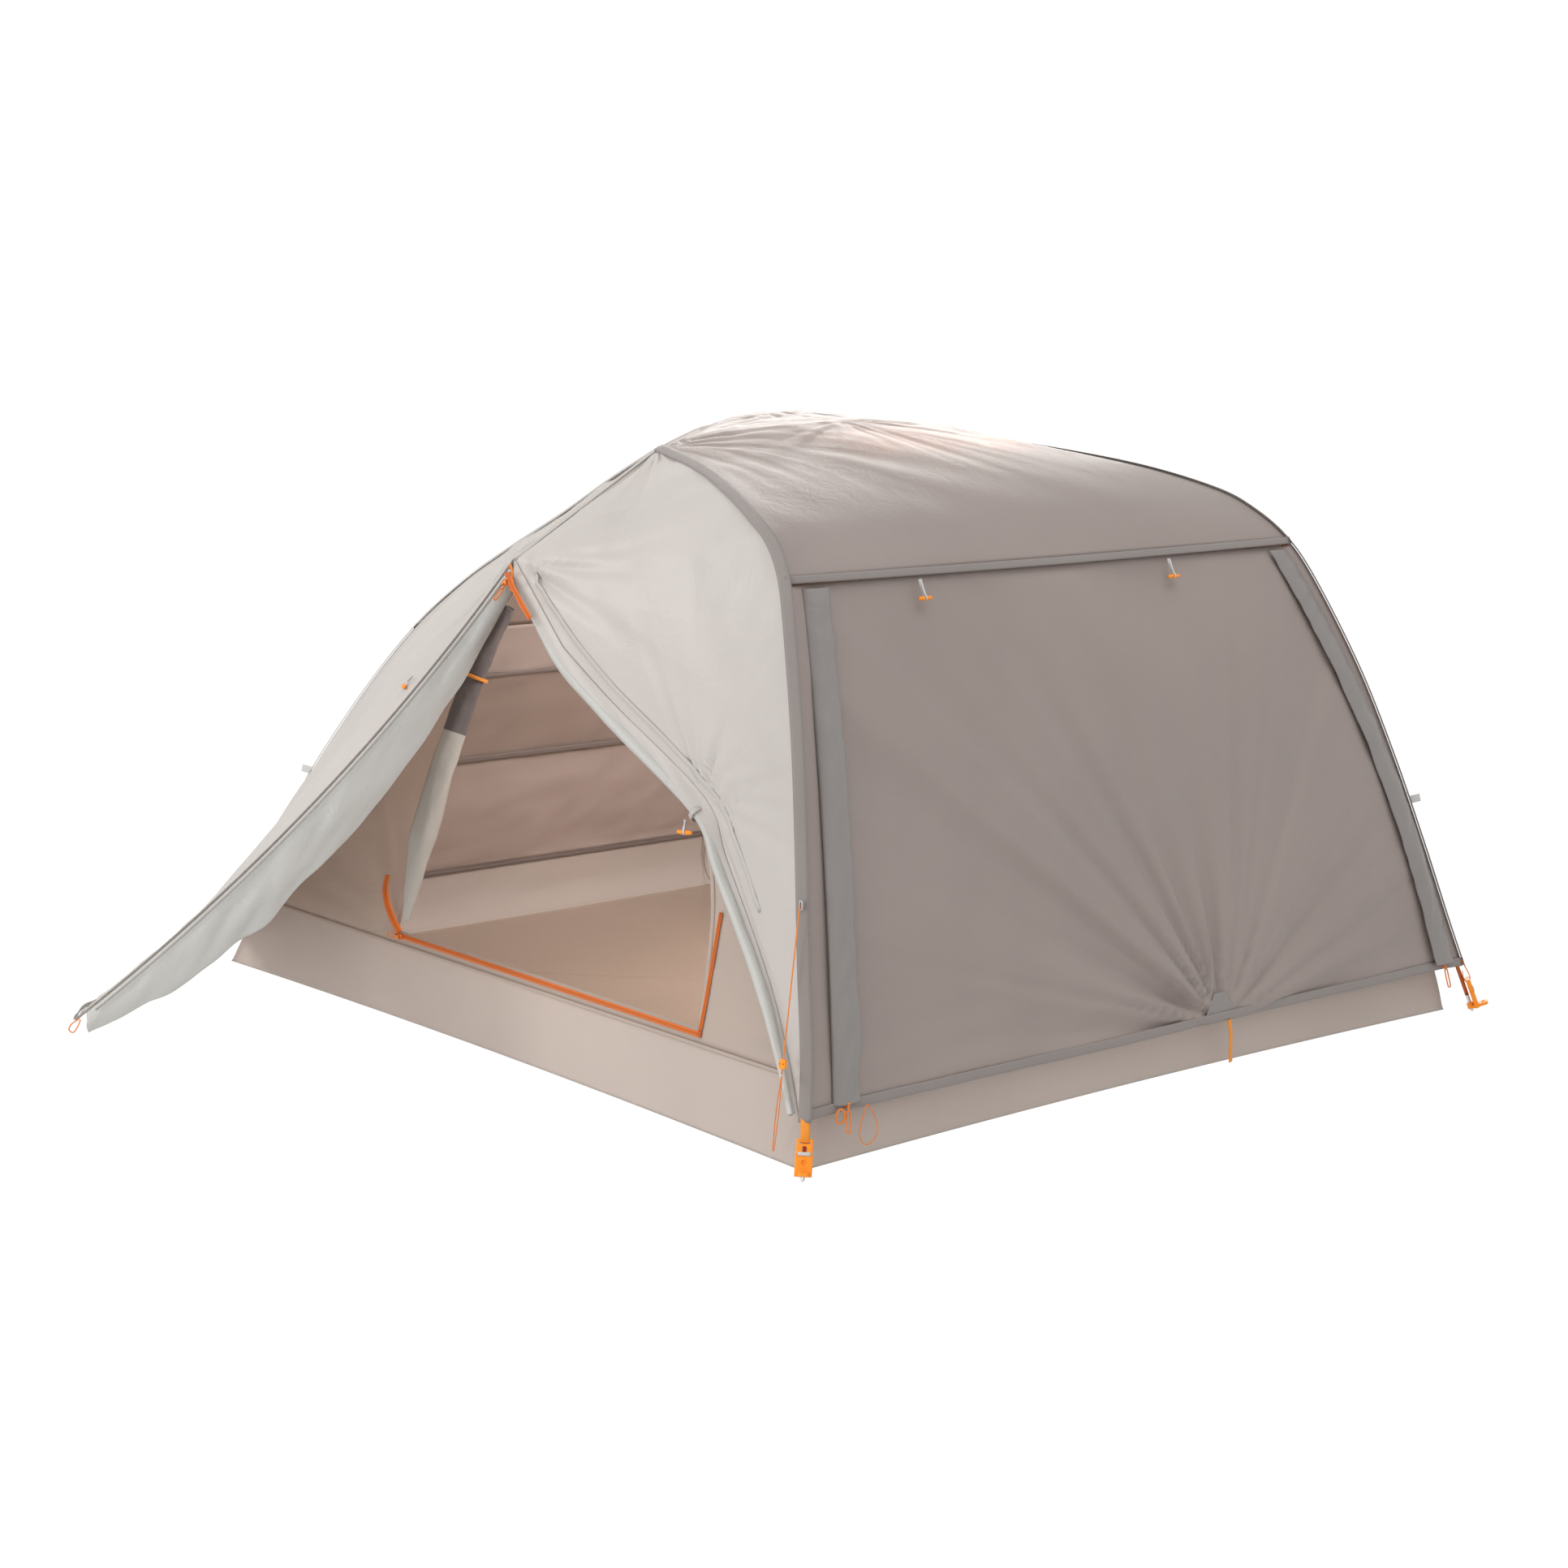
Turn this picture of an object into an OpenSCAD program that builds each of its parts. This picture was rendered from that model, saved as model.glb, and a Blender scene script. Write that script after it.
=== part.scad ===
// Fly-covered dome tent on a hubbed pole frame, pitched with its front door open.
// Millimetres, +Z up. Origin: on the ground under the middle of the floor.
// Front (porch and doorway) faces -Y, head end is +X, foot end is -X.

/* [Poles] */
// Outer diameter of the pole tubing
pole_d = 9; // [8:0.5:10]
// Diameter of the elastic cord inside the poles
shock_cord_d = 2.5; // [2:0.1:3]
// Length of a metal pole tip
tip_len = 42; // [36:1:50]
// Half width of the short brow pole across the ridge
brow_half = 130; // [110:5:150]

/* [Fabric] */
// Thickness of the fly panels
fly_t = 2; // [1.5:0.1:2.5]
// Thickness of the inner body panels
body_t = 2; // [1.5:0.1:2.5]
// Gap from a pole's centre line to the inside of the fly
fly_gap = 12.5; // [11.5:0.5:14]
// Gap from a pole's centre line in to the inner body
body_gap = 45; // [40:1:55]
// Height of the waterproof tub wall of the floor
tub_h = 165; // [150:5:180]

/* [Hardware] */
// Width of the corner buckles
buckle_w = 34; // [30:1:38]
// Diameter of the peg hole in each corner foot
peg_d = 9; // [8:0.5:10]
// Length of a roll-up toggle bar
toggle_len = 30; // [26:1:34]
// Diameter of the thin orange cords
cord_d = 3; // [2.5:0.1:3.5]

/* [Hidden] */
$fn = 32;

// ---- Curves of the pole frame (front side; the rear is its mirror image in Y) ----

foot_x = 1180;
foot_y = 1025;
hub_y = 460;
hub_z = 1305;
HEAD_LEG = [
    [foot_x, -foot_y, 0], [1130, -970, 200], [1072, -930, 400], [1012, -886, 600],
    [942, -838, 800], [850, -782, 1000], [790, -748, 1095], [715, -717, 1157],
    [625, -690, 1198], [460, -625, 1243], [250, -540, 1278], [0, -hub_y, hub_z]
];
FOOT_LEG = [
    [-foot_x, -foot_y, 0], [-1095, -965, 165], [-1005, -890, 340], [-915, -825, 520],
    [-795, -750, 710], [-670, -685, 865], [-545, -630, 975], [-420, -590, 1055],
    [-260, -545, 1145], [-125, -500, 1232], [0, -hub_y, hub_z]
];
RIDGE = [[0, -hub_y, hub_z], [0, -250, 1337], [0, -44, 1347], [0, 250, 1337], [0, hub_y, hub_z]];
brow_y = -44;
brow_z = 1359;
BROW = [[-brow_half, brow_y, brow_z - 8], [0, brow_y, brow_z], [brow_half, brow_y, brow_z - 8]];

function unit(v) = v / norm(v);
function lerp(a, b, t) = a + (b - a) * t;
function last(P) = P[len(P) - 1];
function flip_y(p) = [p[0], -p[1], p[2]];
function mirrored(P) = [for (p = P) flip_y(p)];
function clamp01(t) = min(1, max(0, t));

// Catmull-Rom curve through P, with n steps to each span
function blend4(a, b, c, d, t) =
    0.5 * (2 * b + (c - a) * t + (2 * a - 5 * b + 4 * c - d) * t * t
    + (3 * b - a - 3 * c + d) * t * t * t);
function curve(P, n) = concat(
    [for (i = [0 : len(P) - 2], j = [0 : n - 1])
        blend4(P[max(i - 1, 0)], P[i], P[i + 1], P[min(i + 2, len(P) - 1)], j / n)],
    [last(P)]);

// Lengths along a polyline up to each point, and the point at a share of its whole length
function lengths(P) = [for (i = 0, s = 0; i < len(P); i = i + 1,
    s = s + (i < len(P) ? norm(P[i] - P[i - 1]) : 0)) s];
function along_from(P, L, s, i) =
    i >= len(P) - 2 || L[i + 1] >= s
    ? lerp(P[i], P[i + 1], clamp01((s - L[i]) / max(L[i + 1] - L[i], 1e-6)))
    : along_from(P, L, s, i + 1);
function along(P, t) = let (L = lengths(P)) along_from(P, L, t * last(L), 0);

// Point of a rising curve at height z
function at_height(P, z, i = 0) =
    i >= len(P) - 2 || P[i + 1][2] >= z
    ? lerp(P[i], P[i + 1], clamp01((z - P[i][2]) / (P[i + 1][2] - P[i][2])))
    : at_height(P, z, i + 1);

// Outward direction of the dome at p, and a curve moved along it
function outward(p) = unit([p[0] / 1.39, p[1] / 1.05, p[2] / 1.69]);
function moved(P, d) = [for (p = P) p + d * outward(p)];

head = curve(HEAD_LEG, 3);
foot = curve(FOOT_LEG, 3);
fly_head = moved(head, fly_gap);
fly_foot = moved(foot, fly_gap);
body_head = moved(head, -body_gap);
body_foot = moved(foot, -body_gap);

// A circular arc from a through m to b, at share t of its angle
function arc_centre(a, m, b) =
    let (u = m - a, v = b - a, w = cross(u, v))
    a + (cross(w, u) * (v * v) + cross(v, w) * (u * u)) / (2 * (w * w));
function arc(a, m, b, t) =
    let (c = arc_centre(a, m, b), r = a - c, k = unit(cross(m - a, b - a)),
         s = cross(k, r), q = b - c, ang = atan2(q * s / norm(s), q * r / norm(r)))
    c + r * cos(ang * t) + s * sin(ang * t);

// ---- Shared shapes ----

// A closed sheet over a grid of points: it is t thick, towards (next column) x (next row),
// or the other way where t is negative
function grid_normal(G, i, j) = unit(cross(
    G[i][min(j + 1, len(G[0]) - 1)] - G[i][max(j - 1, 0)],
    G[min(i + 1, len(G) - 1)][j] - G[max(i - 1, 0)][j]));
module sheet(G, t) {
    m = len(G);
    n = len(G[0]);
    k = m * n;
    low = [for (i = [0 : m - 1], j = [0 : n - 1]) G[i][j]];
    high = [for (i = [0 : m - 1], j = [0 : n - 1]) G[i][j] + t * grid_normal(G, i, j)];
    quads = concat(
        [for (i = [0 : m - 2], j = [0 : n - 2])
            [i * n + j, i * n + j + 1, (i + 1) * n + j + 1, (i + 1) * n + j]],
        [for (i = [0 : m - 2], j = [0 : n - 2])
            [k + i * n + j, k + (i + 1) * n + j, k + (i + 1) * n + j + 1, k + i * n + j + 1]],
        [for (j = [0 : n - 2]) [j, k + j, k + j + 1, j + 1]],
        [for (j = [0 : n - 2])
            [(m - 1) * n + j + 1, k + (m - 1) * n + j + 1, k + (m - 1) * n + j, (m - 1) * n + j]],
        [for (i = [0 : m - 2]) [(i + 1) * n, k + (i + 1) * n, k + i * n, i * n]],
        [for (i = [0 : m - 2])
            [i * n + n - 1, k + i * n + n - 1, k + (i + 1) * n + n - 1, (i + 1) * n + n - 1]]);
    faces = [for (q = quads, h = [0, 1]) h == 0 ? [q[0], q[1], q[2]] : [q[0], q[2], q[3]]];
    polyhedron(concat(low, high), t > 0 ? faces : [for (f = faces) [f[2], f[1], f[0]]]);
}

// A tube swept along P; R is its radius at each point
function tangent(P, i) = unit(P[min(i + 1, len(P) - 1)] - P[max(i - 1, 0)]);
function across(t) = unit(cross(t, abs(t[2]) > 0.9 ? [1, 0, 0] : [0, 0, 1]));
function carry(P) = [for (i = 0, a = across(tangent(P, 0)); i < len(P); i = i + 1,
    a = i < len(P) ? let (t = tangent(P, i)) unit(a - t * (a * t)) : a) a];
module sweep(P, R, sides = 10) {
    m = len(P);
    A = carry(P);
    rings = [for (i = [0 : m - 1], j = [0 : sides - 1])
        P[i] + R[i] * (A[i] * cos(j * 360 / sides)
        + cross(tangent(P, i), A[i]) * sin(j * 360 / sides))];
    polyhedron(rings, concat(
        [for (i = [0 : m - 2], j = [0 : sides - 1], h = [0, 1])
            let (a = i * sides + j, b = i * sides + (j + 1) % sides, c = a + sides, d = b + sides)
            h == 0 ? [a, d, b] : [a, c, d]],
        [[for (j = [0 : sides - 1]) j], [for (j = [sides - 1 : -1 : 0]) (m - 1) * sides + j]]));
}
module tube(P, d, sides = 10) sweep(P, [for (p = P) d / 2], sides);

// Children stood at p, with their Z along z and their X as near x as it can be
module frame_at(p, z, x) {
    Z = unit(z);
    Y = unit(cross(Z, x));
    X = cross(Y, Z);
    multmatrix([[X[0], Y[0], Z[0], p[0]], [X[1], Y[1], Z[1], p[1]], [X[2], Y[2], Z[2], p[2]]])
        children();
}
module rounded(w, h, r) {
    square([w, h - 2 * r], center = true);
    square([w - 2 * r, h], center = true);
    for (x = [-1, 1], y = [-1, 1]) translate([x * (w / 2 - r), y * (h / 2 - r)]) circle(r);
}

// ---- Pole frame ----

tip_r = 4;
pole_wall = 0.8;

// A hollow tube swept along P
module pipe(P, d, wall, sides = 10) {
    m = len(P);
    A = carry(P);
    function ring(r) = [for (i = [0 : m - 1], j = [0 : sides - 1])
        P[i] + r * (A[i] * cos(j * 360 / sides)
        + cross(tangent(P, i), A[i]) * sin(j * 360 / sides))];
    k = m * sides;
    polyhedron(concat(ring(d / 2), ring(d / 2 - wall)), concat(
        [for (i = [0 : m - 2], j = [0 : sides - 1], h = [0, 1])
            let (a = i * sides + j, b = i * sides + (j + 1) % sides, c = a + sides, e = b + sides)
            h == 0 ? [a, e, b] : [a, c, e]],
        [for (i = [0 : m - 2], j = [0 : sides - 1], h = [0, 1])
            let (a = k + i * sides + j, b = k + i * sides + (j + 1) % sides,
                 c = a + sides, e = b + sides)
            h == 0 ? [a, b, e] : [a, e, c]],
        [for (j = [0 : sides - 1], h = [0, 1]) let (a = j, b = (j + 1) % sides)
            h == 0 ? [a, b, k + b] : [a, k + b, k + a]],
        [for (j = [0 : sides - 1], h = [0, 1])
            let (a = (m - 1) * sides + j, b = (m - 1) * sides + (j + 1) % sides)
            h == 0 ? [a, k + b, b] : [a, k + a, k + b]]));
}

// Stations along a leg, from above its tip to inside its hub socket
hub_stop = 20;
tip_gap = 0.3;
leg_rings = 20;
function leg_path(P, margin = 0) = let (len_p = last(lengths(P)))
    [for (i = [0 : leg_rings])
        along(P, lerp((tip_len + tip_gap + margin) / len_p, 1 - (hub_stop + margin) / len_p,
            i / leg_rings))];
module leg(P) pipe(leg_path(P), pole_d, pole_wall);
module pole_front_right() color("chocolate") leg(head);
module pole_front_left() color("chocolate") leg(foot);
module pole_rear_right() color("chocolate") leg(mirrored(head));
module pole_rear_left() color("chocolate") leg(mirrored(foot));

ridge = curve(RIDGE, 4);
function middle_of(P, cut) = let (len_p = last(lengths(P)))
    [for (i = [0 : 12]) along(P, lerp(cut / len_p, 1 - cut / len_p, i / 12))];
module ridge_pole() color("chocolate") pipe(middle_of(ridge, hub_stop), pole_d, pole_wall);
module brow_pole() color("chocolate") pipe(curve(BROW, 4), pole_d, pole_wall);
module shock_cords() color("white") {
    for (P = [head, foot, mirrored(head), mirrored(foot)]) tube(leg_path(P, 6), shock_cord_d, 8);
    tube(middle_of(ridge, hub_stop + 6), shock_cord_d, 8);
}

// Stands children at a corner's pole foot: Z up the pole, X outward
module at_foot(P) frame_at(P[0], along(P, tip_len / last(lengths(P))) - P[0],
    [P[0][0], P[0][1], 0]) children();

brow_cap_r = 6;
module pole_tips() color("silver") {
    for (P = [head, foot, mirrored(head), mirrored(foot)]) at_foot(P) {
        translate([0, 0, tip_r + 0.4]) {
            sphere(tip_r);
            cylinder(h = tip_len - tip_r - 0.4, r = tip_r);
        }
    }
    for (x = [-1, 1]) translate([x * (brow_half + brow_cap_r + 1), brow_y, brow_z - 8])
        sphere(brow_cap_r);
}

// Straight sleeves where the pole sections join
sleeve_h = 30;
sleeve_z = [445, 700];
module sleeve(P, z) {
    p = at_height(P, z);
    d = at_height(P, z + sleeve_h / 2) - at_height(P, z - sleeve_h / 2);
    frame_at(p, d, [0.3, 0.9, 0.1]) translate([0, 0, -sleeve_h / 2]) difference() {
        cylinder(h = sleeve_h, r = pole_d / 2 + 1.3);
        translate([0, 0, -1]) cylinder(h = sleeve_h + 2, r = pole_d / 2 + 0.6);
    }
}
module pole_ferrules() color("silver")
    for (P = [head, foot, mirrored(head), mirrored(foot)], z = sleeve_z) sleeve(P, z);

socket_r = 6.8;
core_r = 9;
core_low = 12;
core_h = 18;
socket_len = 42;
socket_bore = pole_d / 2 + 0.7;
module hub(P, Q, R) {
    c = last(P);
    ends = [for (C = [P, Q]) along(C, 1 - socket_len / last(lengths(C))) - c];
    third = along(R, socket_len / last(lengths(R))) - c;
    difference() {
        union() {
            translate(c - [0, 0, core_low]) cylinder(h = core_h, r = core_r);
            for (d = [ends[0], ends[1], third]) frame_at(c, d, [0.3, 0.2, 0.9])
                cylinder(h = socket_len, r = socket_r);
        }
        for (d = [ends[0], ends[1], third]) frame_at(c, d, [0.3, 0.2, 0.9])
            translate([0, 0, hub_stop - 1]) cylinder(h = socket_len, r = socket_bore);
    }
}
module hub_front() color("dimgray") hub(head, foot, ridge);
module hub_rear() color("dimgray") mirror([0, 1, 0]) hub(head, foot, ridge);
module brow_swivel() color("dimgray") difference() {
    translate([0, brow_y, (brow_z + 1347) / 2]) cube([22, 22, 22], center = true);
    translate([0, brow_y, 1347]) rotate([90, 0, 0])
        cylinder(h = 40, r = pole_d / 2 + 0.3, center = true);
    translate([0, brow_y, brow_z]) rotate([0, 90, 0])
        cylinder(h = 40, r = pole_d / 2 + 0.3, center = true);
}

// ---- Corner feet and the buckles that clip the fly to them ----

foot_low = 9;
foot_plate = 7;
peg_x = 30;
shell_x = 13;
shell_t = 10;
shell_top = 50;
tongue_t = 4.4;
module corner_foot(P) color("orange") at_foot(P) difference() {
    union() {
        translate([0, 0, foot_low]) cylinder(h = 14, r = 8);
        translate([(peg_x + 10) / 2, 0, foot_low]) linear_extrude(foot_plate)
            rounded(peg_x + 10, 20, 6);
        translate([shell_x, 0, foot_low]) linear_extrude(shell_top - foot_low)
            rounded(shell_t, buckle_w, 3);
    }
    cylinder(h = 60, r = tip_r + 0.3);
    translate([peg_x, 0, 0]) cylinder(h = 60, r = peg_d / 2);
    translate([shell_x - tongue_t / 2 - 0.4, 4.4 - buckle_w / 2, 24])
        cube([tongue_t + 0.8, buckle_w - 8.8, 40]);
    translate([shell_x, 0, 36]) rotate([0, 90, 0]) cylinder(h = 30, r = 5, center = true);
}
head_h = 30;
module fly_buckle(P) color("orange") at_foot(P) difference() {
    union() {
        translate([shell_x, 0, 25]) linear_extrude(27)
            square([tongue_t, buckle_w - 10.4], center = true);
        translate([shell_x, 0, shell_top + 0.6]) linear_extrude(head_h)
            rounded(shell_t, buckle_w - 2, 3);
    }
    translate([shell_x - 10, -11, shell_top + head_h - 9]) cube([20, 22, 4]);
    translate([shell_x, 0, shell_top + 11]) rotate([0, 90, 0])
        cylinder(h = 30, r = 6, center = true);
}
module foot_front_right() corner_foot(head);
module foot_front_left() corner_foot(foot);
module foot_rear_right() corner_foot(mirrored(head));
module foot_rear_left() corner_foot(mirrored(foot));
module buckle_front_right() fly_buckle(head);
module buckle_front_left() fly_buckle(foot);
module buckle_rear_right() fly_buckle(mirrored(head));
module buckle_rear_left() fly_buckle(mirrored(foot));

// ---- Inner body ----

floor_x = 1130;
floor_y = 985;
tub_head = at_height(body_head, tub_h);
tub_foot = at_height(body_foot, tub_h);
module block8(low, high) polyhedron(concat(low, high), [
    [0, 1, 2, 3], [7, 6, 5, 4], [0, 4, 5, 1], [1, 5, 6, 2], [2, 6, 7, 3], [3, 7, 4, 0]]);
function rim(x0, x1, y0, y1, z, e) = [
    [x0 + e, -y0 + e, z], [x1 - e, -y1 + e, z], [x1 - e, y1 - e, z], [x0 + e, y0 - e, z]];
module floor_tub() color("tan") difference() {
    block8(rim(-floor_x, floor_x, floor_y, floor_y, 0, 0),
        rim(tub_foot[0], tub_head[0], -tub_foot[1], -tub_head[1], tub_h, 0));
    block8(rim(-floor_x, floor_x, floor_y, floor_y, 3, 3),
        rim(tub_foot[0], tub_head[0], -tub_foot[1], -tub_head[1], tub_h + 1, 2.5));
}

wall_rows = [tub_h + 3, 260, 400, 550, 700, 850, 970, 1060, 1140, 1200, 1240, 1258];
edge_inset = 0.004;
function side_row(a, b, n) = [for (j = [0 : n]) lerp(a, b, edge_inset + (1 - 2 * edge_inset) * j / n)];
function front_grid(F, H, Z, n) = [for (z = Z) side_row(at_height(F, z), at_height(H, z), n)];
function mirror_grid(G) = [for (row = G) [for (j = [len(row) - 1 : -1 : 0]) flip_y(row[j])]];
function front_y(x, z) = let (a = at_height(body_foot, z), b = at_height(body_head, z))
    lerp(a[1], b[1], (x - a[0]) / (b[0] - a[0]));

// Doorway outline in X and Z, seen from the front
DOORWAY = [[-425, 196], [-432, 420], [-435, 650], [-420, 840], [-385, 985], [-300, 1015],
    [-120, 985], [120, 915], [330, 825], [500, 715], [640, 580], [720, 430], [745, 196]];
module body_front() color("tan") difference() {
    sheet(front_grid(body_foot, body_head, wall_rows, 8), body_t);
    translate([0, -400, 0]) rotate([90, 0, 0]) linear_extrude(700) polygon(DOORWAY);
}
module body_rear() color("tan")
    sheet(mirror_grid(front_grid(body_foot, body_head, wall_rows, 8)), body_t);
body_right_rows = [tub_h + 3, 300, 480, 650, 800, 930, 1030, 1088];
body_left_rows = [tub_h + 3, 260, 380, 490, 600, 700, 790, 858];
module body_right() color("tan")
    sheet([for (z = body_right_rows) let (p = at_height(body_head, z)) side_row(p, flip_y(p), 6)],
        body_t);
module body_left() color("tan")
    sheet([for (z = body_left_rows) let (p = at_height(body_foot, z)) side_row(flip_y(p), p, 6)],
        body_t);

// Points over the front arch from height zr on the head leg to zl on the foot leg
function arch(H, F, zr, zl) = let (top = last(H)[2]) concat(
    [for (s = [0, 0.25, 0.45, 0.62, 0.76, 0.88, 0.96]) at_height(H, lerp(zr, top, s))],
    [last(H)],
    [for (s = [0.92, 0.8, 0.66, 0.5, 0.34, 0.17, 0]) at_height(F, lerp(zl, top, s))]);
roof_steps = 10;
// Rise over the ridge and brow poles, none at the side seams. The foot end falls away
// faster than the brow pole, so the cloth stands higher over the pole line there.
brow_lift_head = 1.15;
brow_lift_foot = 2.6;
function roof_rise(x, side) =
    let (d = abs(x), reach = brow_half + 8, lift = x > 0 ? brow_lift_head : brow_lift_foot)
    d <= reach ? lerp(1, lift, d / reach) : lift * clamp01((side - d) / (side - reach));
function roof_grid(A, rise) = [for (p = A) [for (j = [0 : roof_steps])
    let (v = edge_inset + (1 - 2 * edge_inset) * j / roof_steps)
    lerp(p, flip_y(p), v) + [0, 0, rise * 4 * v * (1 - v)
        * roof_rise(p[0], p[0] > 0 ? A[0][0] : -last(A)[0])]]];
module body_roof() color("tan") sheet(roof_grid(arch(body_head, body_foot, 1092, 862), 40), body_t);

// Clips that hang the body from the poles
clip_r = pole_d / 2 + 1.8;
module clip(P, z) {
    p = at_height(P, z);
    d = at_height(P, z + 20) - p;
    frame_at(p, d, outward(p)) {
        translate([0, 0, -8]) difference() {
            cylinder(h = 16, r = clip_r);
            translate([0, 0, -1]) cylinder(h = 18, r = pole_d / 2 + 0.5);
            translate([2.5, -10, -1]) cube([10, 20, 18]);
        }
        translate([-clip_r - 27, -5, -1]) cube([27.5, 10, 2]);
    }
}
module pole_clips() color("orange")
    for (P = [head, foot, mirrored(head), mirrored(foot)], z = [330, 560, 790, 960]) clip(P, z);

// The inner door, rolled back beside the doorway and held by a tie
DOOR_ROLL = [[-318, -668, 945], [-358, -712, 835], [-380, -785, 655], [-382, -872, 420],
    [-377, -930, 225]];
DOOR_ROLL_R = [17, 29, 33, 36, 7];
function radius_at(R, t) = let (i = min(floor(t * (len(R) - 1)), len(R) - 2))
    lerp(R[i], R[i + 1], t * (len(R) - 1) - i);
module roll(P, R, n, sides) {
    C = curve(P, n);
    sweep(C, [for (i = [0 : len(C) - 1]) radius_at(R, i / (len(C) - 1))], sides);
}
module door_roll() color("lightgray") roll(DOOR_ROLL, DOOR_ROLL_R, 4, 12);

sill_z = 180;
sill_x0 = -420;
sill_x1 = 757;
zip_w = 12;
zip_lift = 3;
module door_zip() color("orangered") {
    sheet([for (z = [sill_z, sill_z + zip_w])
        [for (i = [0 : 8]) let (x = lerp(sill_x0, sill_x1, i / 8)) [x, front_y(x, z) - zip_lift, z]]],
        1.2);
    sheet([for (z = [sill_z + zip_w + 0.5, 280, 360, 430])
        [for (x = [sill_x1 - zip_w, sill_x1]) [x, front_y(x, z) - zip_lift, z]]], 1.2);
}
// A strap inside the foot end that hangs from the tub seam
CORD_HANG = [[-1058, 470, 168], [-1048, 474, 150], [-1062, 480, 110], [-1078, 492, 70],
    [-1080, 505, 35], [-1070, 515, 12]];
module wall_cord() color("tan") tube(curve(CORD_HANG, 4), 4, 8);

// ---- Fly ----

hem_z = 112;
seam_z = 1100;
seam_left_z = 870;

// Line of the side zips, a true arc, so that a slider can run along it
SIDE_ZIP = [[1158, 125], [1004, 660], [806, 1085]];
front_zip_y = [-896, -797, -685];
rear_zip_y = [935, 835, 712];
function side_zip(Y, t) = arc([SIDE_ZIP[0][0], Y[0], SIDE_ZIP[0][1]],
    [SIDE_ZIP[1][0], Y[1], SIDE_ZIP[1][1]], [SIDE_ZIP[2][0], Y[2], SIDE_ZIP[2][1]], t);

module fly_roof() color("gray") sheet(roof_grid(arch(fly_head, fly_foot, seam_z, seam_left_z), 58), fly_t);

// Head end panel: pole line, front zip, middle, rear zip, pole line
panel_in = 10;
module fly_right() color("gray") sheet([for (i = [-1 : 12])
    let (t = i < 0 ? -0.012 : i / 12, a = side_zip(front_zip_y, t), b = side_zip(rear_zip_y, t),
         z = a[2], p = at_height(fly_head, z), c = [a[0] - panel_in, a[1], z],
         d = [b[0] - panel_in, b[1], z])
    [p + [0, 4, 0], c, lerp(c, d, 0.2), lerp(c, d, 0.4), lerp(c, d, 0.6), lerp(c, d, 0.8), d,
        flip_y(p) - [0, 4, 0]]], fly_t);
module fly_left() color("gray")
    sheet([for (z = [hem_z, 230, 360, 490, 610, 710, 800, seam_left_z - 4])
        let (p = at_height(fly_foot, z)) side_row(flip_y(p), p, 6)], fly_t);
module fly_rear() color("gray")
    sheet(mirror_grid(front_grid(fly_foot, fly_head,
        [hem_z, 260, 400, 550, 700, 850, 970, 1060, 1140, 1200, 1250, 1285, 1302], 8)), fly_t);

// Porch: ridge seam from the hub to the apex, then the zip line down to the tip
apex = [0, -862, 1088];
porch_mid = [-150, -1280, 585];
porch_tip = [-330, -1780, 137];
ROLL_EDGE = [[205, -880, 915], [375, -868, 808], [657, -851, 650], [757, -871, 537],
    [966, -936, 349], [1064, -966, 215], [1142, -1003, hem_z + 4]];
hub_top = last(fly_head);
right_edge = concat([hub_top, lerp(hub_top, apex, 0.5), apex], curve(ROLL_EDGE, 2));
porch_steps = 12;
left_edge = concat([hub_top, lerp(hub_top, apex, 0.5)],
    [for (i = [0 : porch_steps]) arc(apex, porch_mid, porch_tip, i / porch_steps)]);
function above_hem(P) = [for (p = P) if (p[2] >= hem_z) p];
head_down = [for (i = [0 : 12]) lerp(0.02, 1, i / 12)];
function down(P, t) = let (Q = above_hem(P)) along([for (i = [len(Q) - 1 : -1 : 0]) Q[i]], t);
module fly_front() color("lightgray")
    sheet([for (t = head_down) let (a = along(right_edge, t), b = down(fly_head, t) - [3, 0, 0])
        [for (j = [0 : 5]) lerp(a, b, j / 5)]], -fly_t);
module porch_left() color("lightgray")
    sheet([for (t = head_down) let (a = down(fly_foot, t) + [3, 0, 0], b = along(left_edge, t))
        [for (j = [0 : 6]) lerp(a, b, j / 6)]], -fly_t);

function edge_drop(t) = 55 + 430 * t * (1 - t) - 20 * t;
module porch_edge_flap() color("gainsboro") sheet([for (i = [0 : 12])
    let (t = lerp(0.01, 0.97, i / 12), p = arc(apex, porch_mid, porch_tip, t), w = edge_drop(t))
    [p + [4, -4, -4], p + [12, -10, -w / 2], p + [10, -4, -w]]], 1.5);

PORCH_ROLL = [[14, -872, 1050], [205, -890, 885], [372, -878, 778], [656, -868, 617],
    [760, -897, 500], [954, -960, 313], [1044, -980, 171], [1098, -1000, 118]];
PORCH_ROLL_R = [8, 15, 20, 15, 22, 22, 13, 8];
module porch_roll() color("whitesmoke") roll(PORCH_ROLL, PORCH_ROLL_R, 3, 12);

// Zip tape just inside the porch's free edge
module porch_zip() color("orange") sheet([for (i = [0 : 12])
    let (t = lerp(0.03, 0.96, i / 12), p = arc(apex, porch_mid, porch_tip, t))
    [p + [20, -12, -6], p + [28, -16, -6]]], 1.2);

module zip_strip(Y) sheet([for (i = [0 : 12]) let (p = side_zip(Y, lerp(0.004, 0.985, i / 12)))
    [p + [-6, -zip_w / 2, 0], p + [-6, zip_w / 2, 0]]], 1.2);
module side_zip_front() color("orange") zip_strip(front_zip_y);
module side_zip_rear() color("orange") zip_strip(rear_zip_y);

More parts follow.
